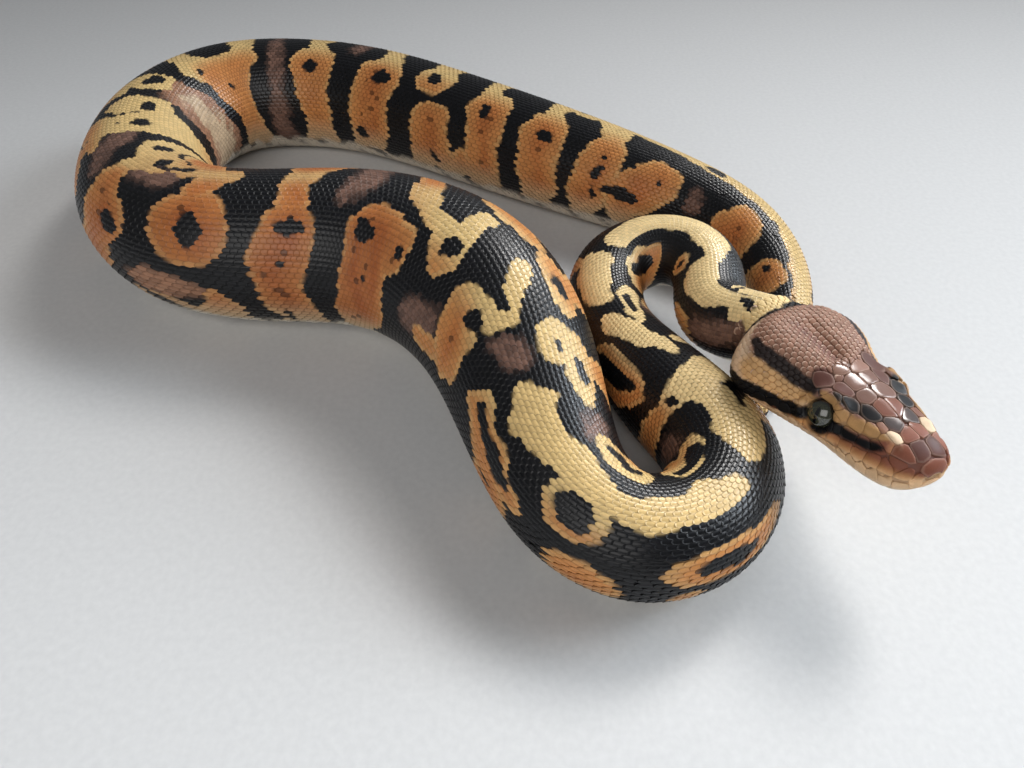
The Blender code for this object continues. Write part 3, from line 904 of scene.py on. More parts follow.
# laid on in this order, on both sides: colour, softness, then (share, degrees off the middle, half width)
HEAD_MARKS = (
    (PLATE_RED, 0.35, ((0.503, 30, 1.35),)),
    (PLATE_RED, 0.35, ((0.412, 22, 1.15),)),
    (SNOUT_RED, 0.5, ((0.3, 10, 1.1), (0.2, 6, 1.2))),
    (PLATE_RED, 0.4, ((0.085, 13, 1.2),)),
    (TEMPLE, 0.9, ((0.47, 62, 0.8), (0.57, 66, 1.6), (0.66, 67, 2.1), (0.72, 68, 2.2))),
    (BLACK, 0.25, ((0.43, 74, 0.7), (0.47, 79, 1.0), (0.571, 87, 1.15), (0.668, 88.5, 1.35),
                   (0.8, 98, 1.8), (0.92, 108, 2.6), (1.0, 112, 3.2))),
    (STRIPE_WITH_SHEEN, 0.25, ((0.795, 43, 0.7), (0.74, 46, 1.1), (0.666, 46, 1.15), (0.568, 49, 1.15),
                    (0.483, 48, 0.95))),
    (BLACK, 0.25, ((0.385, 38, 0.7), (0.311, 31.5, 0.85), (0.245, 23.5, 0.75))),
    (UMBER, 0.35, ((0.232, 19.5, 0.5), (0.199, 15.5, 0.7), (0.165, 10.5, 0.5))),
    (BLACK, 0.25, ((0.4, 71, 2.3),)),
    (BLACK, 0.25, ((0.338, 71.5, 0.9), (0.291, 71, 0.75), (0.201, 62.5, 0.7), (0.152, 53, 0.5))),
    (CANTHAL, 0.25, ((0.43, 45, 0.55), (0.38, 50, 0.85), (0.343, 54, 0.95), (0.281, 51, 0.95),
                     (0.216, 43, 0.85), (0.166, 33, 0.7))),
    (CANTHAL, 0.25, ((0.5, 61, 0.7), (0.475, 58, 0.65))),
    (NASAL, 0.3, ((0.165, 29, 0.55), (0.14, 27, 0.75), (0.115, 36, 0.55))),
    (NOSTRIL_RIM, 0.35, ((0.122, 43, 0.8),)),
    (NOSTRIL_PAINTED_SHADE, 0.12, ((0.117, 42, 0.22), (0.127, 44.5, 0.26))),
)


def head_colours(share, angle, grain):
    """The base colour at places on the head."""
    places = head_ring_points(share, angle) * HEAD_LENGTH
    off = off_middle(share, angle)
    lip = places[..., 2] - mouth_height(share) * HEAD_LENGTH
    patchy = wobble(places[..., 0], places[..., 1], 3.2, 21)
    tone = (0.86 + 0.28 * grain + 0.07 * patchy)[..., None]
    colour = np.tile(CROWN, share.shape + (1,))
    # the furrow darker and redder: its own tone and painted shade in the crease
    colour = blend(colour, FURROW_RED_AND_SHADE, 0.7 * along_line(places, FURROW, 1, 1.2))
    colour = blend(colour, CROWN_FRONT, 1 - ease(share, 0.44, 0.56))
    colour = blend(colour, SNOUT_RED, 1 - ease(share, 0.12, 0.30))
    crown_end = between(CROWN_EDGE, share)
    cheek = ease(off, crown_end - 5, crown_end + 8) * ease(share, 0.40, 0.50)
    colour = blend(colour, CHEEK, cheek)
    front = 1 - ease(share, 0.30, 0.44)
    face = blend(np.tile(LIP, share.shape + (1,)), SNOUT_RED, front * ease(lip, 0.3, 1.9) * 0.92)
    face = blend(face, LIP_EDGE, 1 - ease(lip, -0.2, 1.3))
    low = (1 - ease(lip, 2.6, 3.6)) * ease(off, 60, 76)
    colour = blend(colour, face, low * (1 - 0.75 * ease(share, 0.60, 0.80)))
    for hue, soft, line in HEAD_MARKS:
        widths = [mark[2] for mark in line]
        gap = np.minimum(*(line_distance(places, head_track(line, side), widths) for side in (1, -1)))
        colour = blend(colour, hue, 1 - ease(gap + 0.10 * patchy, -soft, soft))
    for at in LIP_SPOTS:
        for side in (1, -1):
            spot = head_ring_points(at, side * float(lip_angle(at, 0.35))) * HEAD_LENGTH
            near = norm(places - spot, axis=-1)
            colour = blend(colour, LABIAL_SPOT, 0.7 * (1 - ease(near, 0.15, 0.55)))
    colour = blend(colour, LIP_EDGE, (1 - ease(lip, -0.3, 0.1)) * (1 - ease(share, 0.66, 0.78)))
    colour = blend(colour, THROAT, 1 - ease(lip, -3.4, -1.2))
    distance = np.minimum((share - 1) * HEAD_LENGTH, 0) + 0.01
    neck = body_colours(*(np.broadcast_to(part, share.shape).ravel() for part in (distance, angle, grain)))
    end = NAPE_SHARE + 0.03 * ease(off, 50, 90) + 0.05 * ease(off, 100, 130)
    return blend(colour * tone, neck.reshape(colour.shape), ease(share, end - 0.012, end + 0.012))


# ---------------------------------------------------------------- the skin
SCALE_DEPTH = 0.30      # the skin lies this deep inside the form
SKIN_SIDES = 144
SKIN_STEP = 1.15        # spacing of the skin's rings along the body
HEAD_STEP = 0.30
SNOUT_CURL = 0.16       # ahead of this share the rings draw closer together
SKIN_DARK = 0.78        # how much of its colour the skin shows between the scales
SKIN_STRIPS = 6         # the skin's map is laid out in this many strips


def material_skin():
    material, board, surface = new_material("skin")
    board.give(surface, {"Base Color": board.kept("tint"), "Roughness": 0.55})
    return material


def scaly(name, rough, coat, coat_rough, specular):
    """A satin finish over the colour that each place carries, with a fine uneven grain."""
    material, board, surface = new_material(name)
    where = board.wire("ShaderNodeTexCoord", "Object")
    grain = board.noise(where, 4200.0, 3.0)
    patch = board.noise(where, 260.0, 2.0)
    gloss, rim = (board.kept(key, "Fac") for key in ("gloss", "rim"))
    tinted = {0: board.kept("tint"), "Scale": grain * 0.26 + 0.87}
    bump = {"Strength": 0.10, "Distance": 0.00005, "Height": grain}
    board.give(surface, {
        "Base Color": board.wire("ShaderNodeVectorMath", 0, {"operation": "SCALE"}, tinted),
        "Roughness": patch * 0.16 + (rough - 0.08) - gloss * 0.18 + rim.power(3.0) * 0.35,
        "Normal": board.wire("ShaderNodeBump", 0, None, bump),
        "Coat Weight": gloss * 0.98 + coat,
        "Coat Roughness": coat_rough,
        "Specular IOR Level": specular,
    })
    return material


def skin_rings():
    """Rings of the whole animal from the tail's tip to the snout: places, normals and colours."""
    angles = np.arange(SKIN_SIDES) * 360.0 / SKIN_SIDES - 180.0
    distance = np.linspace(spine.length - STEP, 0, round(spine.length / SKIN_STEP))
    where, turn = np.meshgrid(distance, angles, indexing="ij")
    body = spine.surface(where, turn)
    along = np.gradient(body, axis=0)
    around = spine.surface(where, turn + 0.5) - spine.surface(where, turn - 0.5)
    body_normal = unit(np.cross(along, around))
    body_hue = body_colours(where.ravel(), turn.ravel(), np.full(where.size, 0.5)).reshape(body.shape)
    curl = np.linspace(0, math.pi / 2, 24)[1:-1]
    straight = np.arange(1.0, SNOUT_CURL, -HEAD_STEP / HEAD_LENGTH)[1:]
    share = np.concatenate([straight, SNOUT_CURL * (1 - np.sin(curl))])
    at, turn = np.meshgrid(share, angles, indexing="ij")
    head = (*head_shape(at, turn), head_colours(at, turn, np.full(at.shape, 0.5)))
    return (np.concatenate(pair) for pair in zip((body, body_normal, body_hue), head))


def strip_map(rings, sides):
    """The map's corners for a tube of quads: its length is cut into strips laid one above the other."""
    i = np.repeat(np.arange(rings - 1), sides)
    j = np.tile(np.arange(sides), rings - 1)
    per = math.ceil((rings - 1) / SKIN_STRIPS)
    strip, inside = i // per, i % per
    corners = []
    for di, dj in ((0, 0), (0, 1), (1, 1), (1, 0)):
        u = 0.01 + 0.98 * (inside + di) / per
        v = (strip + 0.03 + 0.94 * (j + dj) / sides) / SKIN_STRIPS
        corners.append(np.stack([u, v], axis=1))
    return np.stack(corners, axis=1).reshape(-1, 2)


def make_skin(material):
    points, normals, hue = skin_rings()
    inner = points - normals * SCALE_DEPTH
    rings, sides = inner.shape[:2]
    flat = np.concatenate([inner.reshape(-1, 3), inner[:1].mean(axis=1), inner[-1:].mean(axis=1)])
    colours = np.concatenate([hue.reshape(-1, 3), hue[0, :1], hue[-1, :1]]) * SKIN_DARK
    last = (rings - 1) * sides
    faces = grid_faces(rings, sides, True).tolist()
    faces += fan(0, sides, last + sides, True) + fan(last, sides, last + sides + 1)
    turn = 2 * math.pi * np.arange(sides + 1) / sides
    corners = [strip_map(rings, sides)]
    for across, way in ((0.013, -1), (0.033, 1)):       # the two ends, beside the last strip
        centre = np.array((across, 0.9985))
        ring = centre + 0.0012 * np.stack([np.cos(turn), np.sin(turn)], axis=1)
        pair = (ring[:-1], ring[1:])[::way]
        corners.append(np.stack([*pair, np.broadcast_to(centre, pair[0].shape)], axis=1).reshape(-1, 2))
    return mesh_object("skin", flat, faces, material, colours, np.concatenate(corners))


# ---------------------------------------------------------------- the coat of scales on the body
HALF_ROWS = 34          # rows of scales on each side of the row down the middle of the back
COAT_EDGE = 138.0       # degrees from the back where the belly's wide scales begin
MIDDLE_ROWS = 17        # rows on each side that are as small as the back's; those below are longer
# distance and length of a scale of the back
BACK_PITCH = ((0, 0.82), (60, 0.88), (110, 0.97), (150, 1.08), (200, 1.18), (400, 1.18), (440, 1.02),
              (470, 0.85), (500, 0.65))
FLANK_PITCH = 1.4       # length of the flank's scales against the back's
# pairs of rows that are missing from one distance to another
ROW_GAPS = (
    (-99, 140, 24), (-99, 129, 21), (-99, 118, 12), (-99, 98, 29), (-99, 76, 18), (-5, 50, 7), (-3, 24, 16),
    (426, 999, 27), (431, 999, 15), (436, 999, 22), (441, 999, 9), (446, 999, 30), (451, 999, 18),
    (456, 999, 5), (461, 999, 24), (466, 999, 11), (471, 999, 3), (476, 999, 33), (481, 999, 20),
    (486, 999, 7), (490, 999, 13),
)
END_RUN = 5.0           # half the length over which a pair of rows narrows
NAPE_RUN = 3.0          # the same for those missing on the nape alone
READ_STEP = 0.25        # between the places at which rows of scales are counted


def row_weights(distance):
    """The share of a full width that each row has at each distance, rows by distances."""
    weights = np.ones((HALF_ROWS + 1, len(distance)))
    for start, end, row in ROW_GAPS:
        run = END_RUN if start < -20 or end > 900 else NAPE_RUN
        gone = ease(distance, start - run, start + run) * (1 - ease(distance, end - run, end + run))
        weights[row:row + 2] *= 1 - gone
    return weights


def row_angles(distance):
    """The angle from the back and the width in degrees of each row at each distance."""
    weights = row_weights(distance)
    weights[0] *= 0.5
    total = weights.sum(axis=0)
    outer = np.cumsum(weights, axis=0)
    centre = outer - weights / 2
    centre[0] = 0
    width = weights / total * COAT_EDGE
    width[0] *= 2
    return centre / total * COAT_EDGE, width


def scale_template():
    """One scale lying on the plane, its free end towards plus Y: unit half width and unit length."""
    stations = ((0.0, 0.62), (0.26, 0.93), (0.52, 1.0), (0.76, 0.84), (0.93, 0.50))
    columns = (-1.0, -0.55, 0.0, 0.55, 1.0)
    points, rims = [], []
    for t, half in stations:
        for c in columns:
            dome = 0.58 * (1 - c * c) * math.sin(math.pi * min(t + 0.25, 1.0) * 0.8)
            points.append((c * half, t + 0.07 * (1 - c * c) * t, 0.1 + 0.72 * t + dome))
            rims.append(abs(c) if t < 0.8 else 1.0)
    rows, n = len(stations), len(columns)
    faces = grid_faces(rows, n, False)[:, ::-1].tolist()
    rim = [i * n for i in range(1, rows)] + [(rows - 1) * n + c for c in range(1, n)]
    rim += [i * n + n - 1 for i in range(rows - 2, 0, -1)]
    base = len(points)
    points += [(points[i][0] * 0.96, points[i][1] - 0.02, -0.45) for i in rim]
    faces += [(a, b, base + i + 1, base + i) for i, (a, b) in enumerate(zip(rim, rim[1:]))]
    return np.array(points), np.array(rims + [1.0] * len(rim)), faces


def make_template():
    points, rims, faces = scale_template()
    mesh = bpy.data.meshes.new("one_scale")
    mesh.from_pydata(points.tolist(), [], faces)
    mesh.shade_smooth()
    corners = points[[loop.vertex_index for loop in mesh.loops]]
    flat = np.stack([corners[:, 0] / 2, corners[:, 1] - 0.5], axis=1)
    mesh.uv_layers.new(name="patch").data.foreach_set("uv", flat.astype(np.float32).ravel())
    keep(mesh, "rim", "FLOAT", "value", rims)
    return bpy.data.objects.new("one_scale", mesh)


def scale_lattice():
    """Every scale of the back and flanks: distance, angle from the back, half width and length."""
    at = np.arange(0.0, spine.length - 1.0, READ_STEP)
    weights = row_weights(at)
    turns_off, width = row_angles(at)
    pitch = curve(BACK_PITCH, at)
    draw = np.random.default_rng(RNG_SEED)
    found = []
    for row in range(HALF_ROWS + 1):
        long = pitch * (1.0 if row <= MIDDLE_ROWS else FLANK_PITCH)
        count = running(READ_STEP / long)[:-1]
        s = np.interp(np.arange(0, int(count[-1])) + 0.5 * (row % 2), count, at)
        s = s[np.interp(s, at, weights[row]) > 0.5]
        for side in ((1, -1) if row else (1,)):
            d = s + draw.normal(0, 0.02, len(s))
            found.append(np.stack([d, side * np.interp(d, at, turns_off[row]), np.interp(d, at, width[row]),
                                   np.interp(d, at, long)], axis=1))
    return np.concatenate(found)


def turns(across, along, normal):
    """Euler angles of frames given by their three directions."""
    ry = np.arcsin(np.clip(-across[:, 2], -1, 1))
    rx = np.arctan2(along[:, 2], normal[:, 2])
    rz = np.arctan2(across[:, 1], across[:, 0])
    return np.stack([rx, ry, rz], axis=1)


PATCH_SIZE = 0.003      # of one scale on the map


def coat_tree():
    """Sets one scale at every point, turned and sized, and lays out each one's patch of the map."""
    tree = bpy.data.node_groups.new("coat", "GeometryNodeTree")
    face = tree.interface
    for name, kind in (("Geometry", "Geometry"), ("Width", "Float"), ("Length", "Float"), ("Lift", "Float"),
                       ("Patch", "Float"), ("Scale", "Object"), ("Finish", "Material")):
        face.new_socket(name, in_out="INPUT", socket_type="NodeSocket" + kind)
    face.new_socket("Geometry", in_out="OUTPUT", socket_type="NodeSocketGeometry")
    board = Board(tree)
    given = board.node("NodeGroupInput").outputs

    def kept(name):
        vector = {"data_type": "FLOAT_VECTOR"}
        return board.wire("GeometryNodeInputNamedAttribute", "Attribute", vector, {"Name": name})

    def vectors(operation, inputs):
        return board.wire("ShaderNodeVectorMath", 0, {"operation": operation}, inputs)

    grow = board.wire("ShaderNodeCombineXYZ", 0, None,
                      {"X": given["Width"], "Y": given["Length"], "Z": given["Lift"]})
    one = board.wire("GeometryNodeObjectInfo", "Geometry", None,
                     {"Object": given["Scale"], "As Instance": True})
    placed = board.wire("GeometryNodeInstanceOnPoints", 0, None, {
        "Points": given["Geometry"], "Instance": one, "Rotation": kept("turn"),
        "Scale": vectors("MULTIPLY", {0: kept("size"), 1: grow})})
    real = board.wire("GeometryNodeRealizeInstances", 0, None, {"Geometry": placed})
    small = vectors("SCALE", {0: kept("patch"), "Scale": given["Patch"]})
    mapped = board.wire("GeometryNodeStoreNamedAttribute", 0, {"data_type": "FLOAT2", "domain": "CORNER"}, {
        "Geometry": real, "Name": "OFBake", "Value": vectors("ADD", {0: kept("root"), 1: small})})
    done = board.wire("GeometryNodeSetMaterial", 0, None, {"Geometry": mapped, "Material": given["Finish"]})
    board.node("NodeGroupOutput", None, {"Geometry": done})
    return tree


def coat_piece(name, tree, settings, places, marks):
    """A piece of the coat: the tree run over the scales' places and turned into a plain mesh."""
    mesh = bpy.data.meshes.new(name)
    mesh.from_pydata((places * MM).tolist(), [], [])
    for key, values in marks.items():
        keep(mesh, key, "FLOAT_VECTOR", "vector", values)
    seeds = add_object(name + "_places", mesh)
    change = seeds.modifiers.new("coat", "NODES")
    change.node_group = tree
    for socket in tree.interface.items_tree:
        if socket.name in settings:
            change[socket.identifier] = settings[socket.name]
    graph = bpy.context.evaluated_depsgraph_get()
    plain = bpy.data.meshes.new_from_object(seeds.evaluated_get(graph))
    bpy.data.objects.remove(seeds)
    for key in (*marks, "patch"):
        if key in plain.attributes:
            plain.attributes.remove(plain.attributes[key])
    plain.name = name
    if not plain.materials:
        plain.materials.append(settings["Finish"])
    return add_object(name, plain)


COAT_PARTS = (("neck", 0, 60), ("throat", 60, 115), ("trunk_a", 115, 170), ("trunk_b", 170, 232),
              ("trunk_c", 232, 294), ("trunk_d", 294, 356), ("trunk_e", 356, 418), ("tail", 418, 500))
OVERLAP = 1.42          # length of a scale against the distance to the next
EDGE_FOLLOW = 0.30      # how closely the markings' edges run through the scales instead of round them
COAT_SHARP = 0.14       # millimetres over which a marking's edge turns
RIM_SHADE = 0.30        # painted shade: how much darker a scale is made at its rim
HALF_SHARE = 0.64       # half width of a scale against the spacing of its rows
ROOT_SHARE = 0.42       # a scale's root lies this share of its length ahead of its middle


def make_coat(material):
    s, theta, width, long = scale_lattice().T
    angle = theta + roll(s)
    grain = np.random.default_rng(RNG_SEED + 1).random(len(s))
    step = 0.2
    place = spine.surface(s, angle)
    along = spine.surface(s + step, angle) - spine.surface(s - step, angle)
    around = spine.surface(s, angle + 1.0) - spine.surface(s, angle - 1.0)
    stretch = norm(along, axis=1) / (2 * step)
    tail_way = unit(along)
    normal = unit(np.cross(tail_way, around))
    normal *= np.where((normal * (place - spine.place(s))).sum(axis=1) < 0, -1.0, 1.0)[:, None]
    side = unit(np.cross(tail_way, normal))
    arc = norm(around, axis=1) / 2      # millimetres to a degree
    half = arc * width * HALF_SHARE
    length = long * np.clip(stretch, 0.55, 1.6) * OVERLAP
    lift = SCALE_DEPTH * np.clip(long / 1.30, 0.5, 0.9)
    size = np.stack([half, length, lift], axis=1) * MM
    root = place - normal * SCALE_DEPTH - tail_way * (length * ROOT_SHARE)[:, None]
    shape, rims, _ = scale_template()
    tree = coat_tree()
    settings = {"Scale": make_template(), "Finish": material, "Width": 1.0, "Length": 1.0, "Lift": 1.0,
                "Patch": PATCH_SIZE}
    pieces = []
    for name, start, end in COAT_PARTS:
        pick = (s >= start) & (s < end)
        u = 0.02 + 0.96 * (s[pick] - start) / (min(end, spine.length) - start)
        spot = np.stack([u, 0.5 + theta[pick] / 300.0, np.zeros(len(u))], axis=1)
        turn = turns(side[pick], tail_way[pick], normal[pick])
        marks = {"turn": turn, "size": size[pick], "root": spot}
        piece = coat_piece(f"scales_{name}", tree, settings, root[pick], marks)
        ahead = (shape[None, :, 1] - ROOT_SHARE) * (length / stretch)[pick, None] * EDGE_FOLLOW
        beside = shape[None, :, 0] * (half / arc)[pick, None] * EDGE_FOLLOW
        hue = body_colours((s[pick, None] + ahead).ravel(), (angle[pick, None] + beside).ravel(),
                           np.repeat(grain[pick], len(shape)), COAT_SHARP)
        # painted shade towards each scale's rim
        shade = 1 - RIM_SHADE * np.tile(rims, pick.sum()) ** 3
        set_tint(piece.data, hue * shade[:, None])
        pieces.append(piece)
    return pieces


# ---------------------------------------------------------------- the scales and plates of the head
# Plates on each side, listed one by one: share, degrees off the middle, half length and half width in
# millimetres.
PLATES = (
    (0.072, 14, 1.35, 1.35), (0.15, 28, 1.1, 0.95), (0.272, 8, 1.25, 0.9), (0.345, 10, 1.25, 1.05),
    (0.418, 10, 1.2, 1.0), (0.49, 10, 1.1, 1.05), (0.14, 9, 1.15, 0.95), (0.199, 15.5, 1.2, 0.85),
    (0.276, 27.5, 1.25, 0.9), (0.35, 35.5, 1.15, 0.85), (0.412, 25, 1.2, 0.85), (0.503, 30, 1.3, 1.3),
    (0.405, 44, 1.8, 0.9), (0.09, 36, 1.1, 1.15), (0.158, 40, 0.9, 0.85), (0.216, 42, 1.05, 0.85),
    (0.281, 50, 1.15, 0.9), (0.343, 53, 0.95, 0.85), (0.472, 59, 0.85, 0.75), (0.212, 29, 0.8, 0.6),
    (0.17, 56, 0.85, 0.75), (0.22, 63, 0.85, 0.75), (0.275, 69, 0.85, 0.75), (0.33, 72, 0.75, 0.7),
    (0.07, 62, 1.05, 1.0), (0.075, 160, 1.5, 1.1), (0.165, 166, 1.6, 1.0), (0.255, 168, 1.5, 0.9),
)
MIDDLE_PLATES = ((0.008, 0, 1.15, 1.90), (0.010, 180, 1.0, 1.5))     # at the front of each jaw
UPPER_LIPS = 12
LOWER_LIPS = 14
EYE_SCALES = 12
RING_AT = 2.72          # how far the scales round the eye sit from its middle, in millimetres
HEAD_PITCH = ((0.5, 0.80), (0.62, 0.98), (0.80, 1.05), (1.0, 1.0))      # share, length of the small scales
LATTICE_START = 0.505   # share
FILL_SIZE = ((0.0, 0.85), (0.12, 0.62), (0.25, 0.50), (0.45, 0.44), (0.6, 0.48), (1.0, 0.52))
WET_STREAK = ((0.5, -4), (0.466, -3), (0.413, -0.6), (0.383, 0.4), (0.311, 10.8), (0.249, 5.6), (0.2, 2.8))
FRONT_SHARE = 0.50      # ahead of this the plates leave hardly any room for small scales
FRONT_ROOM = 1.22       # room kept round a plate against the half sizes, ahead of it
BACK_ROOM = 0.92        # and behind it
LATTICE_ROOM = 0.80     # the same for the rows of the crown
LONGEST = 1.9           # an outline's reach against the scale's greater half size, at most
SMALL_FROM = 0.42       # behind this share the small scales lift their rear edges
UNEVEN = np.array((0.004, 1.3, 0.08, 0.10))      # how far plates stray in share, degrees, length and width
GAP = 0.030             # between neighbouring scales
CORNER = 14.0           # higher is sharper
NEIGHBOURS = 22         # how many a scale's outline is fitted against
SCATTERED = 9000        # places tried for the small scales
SPACING = 1.72          # between two of these, against half their size
SPREADING = 6           # rounds of evening out
PLATE_SIDES = 16
PLATE_RINGS = (0.30, 0.55, 0.78, 0.93, 1.0)     # from the middle to the edge, on the large scales
SMALL_RINGS = (0.5, 0.86, 1.0)
LARGE = 0.8             # half a large scale's size in millimetres, at least


def lip_row(count, rise, long, wide):
    """Scales along one lip on the plus side, their middles this far above the mouth line in millimetres."""
    return [(u, float(lip_angle(u, rise)), long, wide) for u in np.linspace(0.045, 0.66, count)]


def eye_ring():
    """The scales round the eye on the plus side."""
    centre = eye_centre(1)
    found = []
    for k in range(EYE_SCALES):
        turn = 2 * math.pi * (k + 0.5) / EYE_SCALES
        share = SNOUT - (centre[0] + RING_AT * math.cos(turn)) / HEAD_LENGTH
        height = (centre[2] + RING_AT * math.sin(turn)) / HEAD_LENGTH
        found.append((share, float(angle_at(share, height)), 0.62, 0.62))
    return found


def fixed_plates():
    """All the plates that are listed one by one or set in rows: share, degrees round, half length and half
    width.
    """
    found = [(u, a + float(middle(u)), h, w) for u, a, h, w in MIDDLE_PLATES]
    draw = np.random.default_rng(RNG_SEED + 5)
    lips = lip_row(UPPER_LIPS, 0.98, 0.92, 0.98) + lip_row(LOWER_LIPS, -0.90, 0.78, 0.80)
    for side in (1, -1):
        for u, a, h, w in PLATES:
            slip = draw.normal(0, 1, 4) * UNEVEN
            found.append((u + slip[0], side * a + float(middle(u)) + slip[1],
                          h * (1 + slip[2]), w * (1 + slip[3])))
        found += [(u, side * a, h, w) for u, a, h, w in lips + eye_ring()]
    return np.array(found)


def round_head(share, fraction):
    """Degrees round at a fraction of the way round from the middle line to the belly's edge."""
    angles = np.linspace(0, COAT_EDGE, 70)
    out = np.empty(len(share))
    for k, (u, f) in enumerate(zip(share, fraction)):
        run = running(norm(np.diff(head_ring_points(np.full(70, u), angles), axis=0), axis=1))
        out[k] = np.interp(f * run[-1], run, angles)
    return out


def crown_lattice():
    """The small scales behind the eyes, in rows that run on from the neck's."""
    ahead = np.arange(0.0, (1 - LATTICE_START) * HEAD_LENGTH, READ_STEP)
    weights = row_weights(-ahead)
    middles, widths = row_angles(-ahead)
    pitch = between(HEAD_PITCH, 1 - ahead / HEAD_LENGTH)
    count = running(READ_STEP / pitch)[:-1]
    found = []
    for row in range(HALF_ROWS + 1):
        s = np.interp(np.arange(1, int(count[-1]) + 1) - 0.5 * (row % 2), count, ahead)
        s = s[np.interp(s, ahead, weights[row]) > 0.5]
        share = 1 - s / HEAD_LENGTH
        turn = round_head(share, np.interp(s, ahead, middles[row]) / COAT_EDGE)
        arc = np.interp(s, ahead, widths[row]) / COAT_EDGE * head_half_arc(share)
        for side in ((1, -1) if row else (1,)):
            half = np.interp(s, ahead, pitch) * 0.56
            found.append(np.stack([share, side * turn + middle(share), half, arc * 0.5], axis=1))
    return np.concatenate(found)


def head_half_arc(share):
    """The way round from the middle line to the belly's edge, in millimetres."""
    ring = head_ring_points(share[:, None], np.linspace(0, COAT_EDGE, 40)[None, :]) * HEAD_LENGTH
    return norm(np.diff(ring, axis=1), axis=2).sum(axis=1)


def seed_size(share, angle):
    """Half the spacing of the scales that fill the rest of the head, in millimetres."""
    return between(FILL_SIZE, share) + 0.16 * ease(off_middle(share, angle), 112, 140)


def clear_of(plates, places, size, room):
    """Which places lie clear of all the plates, at room times the sum of the two half sizes."""
    homes = head_surface(plates[:, 0], plates[:, 1])
    reach = np.sqrt(plates[:, 2] * plates[:, 3])
    gap = norm(places[:, None] - homes[None], axis=2)
    return (gap > room * (size[:, None] + reach[None])).all(axis=1)


def fill_plates(plates):
    """Scales scattered evenly over whatever the others leave free."""
    draw = np.random.default_rng(RNG_SEED + 7)
    share = draw.uniform(0.01, 1.0, SCATTERED)
    angle = draw.uniform(-180, 180, SCATTERED)
    places = head_surface(share, angle)
    size = seed_size(share, angle)
    free = clear_of(plates, places, size, np.where(share < FRONT_SHARE, FRONT_ROOM, BACK_ROOM)[:, None])
    places, size = places[free], size[free]
    taken = []
    for k in range(len(places)):
        if not taken or (norm(places[taken] - places[k], axis=1) > SPACING * size[k]).all():
            taken.append(k)
    spots = places[taken]
    half = size[taken]
    homes = head_surface(plates[:, 0], plates[:, 1])
    weight = np.concatenate([np.sqrt(plates[:, 2] * plates[:, 3]), half])
    for _ in range(SPREADING):
        everything = np.concatenate([homes, spots])
        near = (norm(places[:, None] - everything[None], axis=2) / weight).argmin(axis=1) - len(homes)
        mine = near >= 0
        total = np.stack([np.bincount(near[mine], places[mine, c], len(spots)) for c in range(3)], 1)
        number = np.bincount(near[mine], minlength=len(spots))[:, None]
        spots = np.where(number > 0, total / np.maximum(number, 1), spots)
    return np.stack([*head_where(spots), half, half], axis=1)


def head_seeds():
    """Every scale of the head, and how many of them are fixed plates: these come first."""
    fixed = fixed_plates()
    lattice = crown_lattice()
    free = clear_of(fixed, head_surface(lattice[:, 0], lattice[:, 1]), lattice[:, 2], LATTICE_ROOM)
    plates = np.concatenate([fixed, lattice[free]])
    return np.concatenate([plates, fill_plates(plates)]), len(fixed)


def plate_frames(share, angle):
    """Places, directions towards the tail, sideways directions and normals on the head."""
    step = 2e-3
    place = head_shape(share, angle)[0]
    along = head_surface(share + step, angle) - head_surface(np.maximum(share - step, 1e-3), angle)
    around = head_surface(share, angle + 0.5) - head_surface(share, angle - 0.5)
    normal = unit(np.cross(around, along))
    tail_way = unit(along)
    return place, tail_way, unit(np.cross(tail_way, normal)), normal


def outlines(place, tail_way, side_way, normal, half, around):
    """The distance from each scale's middle to its edge all round, where neighbours share the ground."""
    count = len(place)
    gap = norm(place[:, None] - place[None], axis=2)
    gap[np.arange(count), np.arange(count)] = 1e9
    gap[(normal @ normal.T) < -0.2] = 1e9
    near = np.argsort(gap, axis=1)[:, :NEIGHBOURS]
    off = place[near] - place[:, None]
    own = np.broadcast_to(np.arange(count)[:, None], near.shape)

    def measured(owner):
        return (off * side_way[owner]).sum(axis=2), (off * tail_way[owner]).sum(axis=2)

    x, y = measured(own)
    stretch = np.take_along_axis(gap, near, axis=1) / np.maximum(np.hypot(x, y), 1e-6)
    x, y = x * stretch, y * stretch
    xo, yo = measured(near)
    mine = np.hypot(x / half[own, 1], y / half[own, 0])
    other = np.hypot(xo / half[near, 1], yo / half[near, 0])
    share = other / np.maximum(mine + other, 1e-9)
    mine, other = np.maximum(mine, 1e-9), np.maximum(other, 1e-9)
    mx, my = (part / half[own, k] ** 2 / mine + part / half[near, k] ** 2 / other
              for part, k in ((x, 1), (y, 0)))
    size = np.hypot(mx, my)
    mx, my = mx / size, my / size
    reach = np.maximum(share * (x * mx + y * my) - GAP / 2, 0.05)
    facing = mx[:, :, None] * np.sin(around) + my[:, :, None] * np.cos(around)
    pull = np.maximum(facing / reach[:, :, None], 1e-3) ** CORNER
    return pull.sum(axis=1) ** (-1 / CORNER)


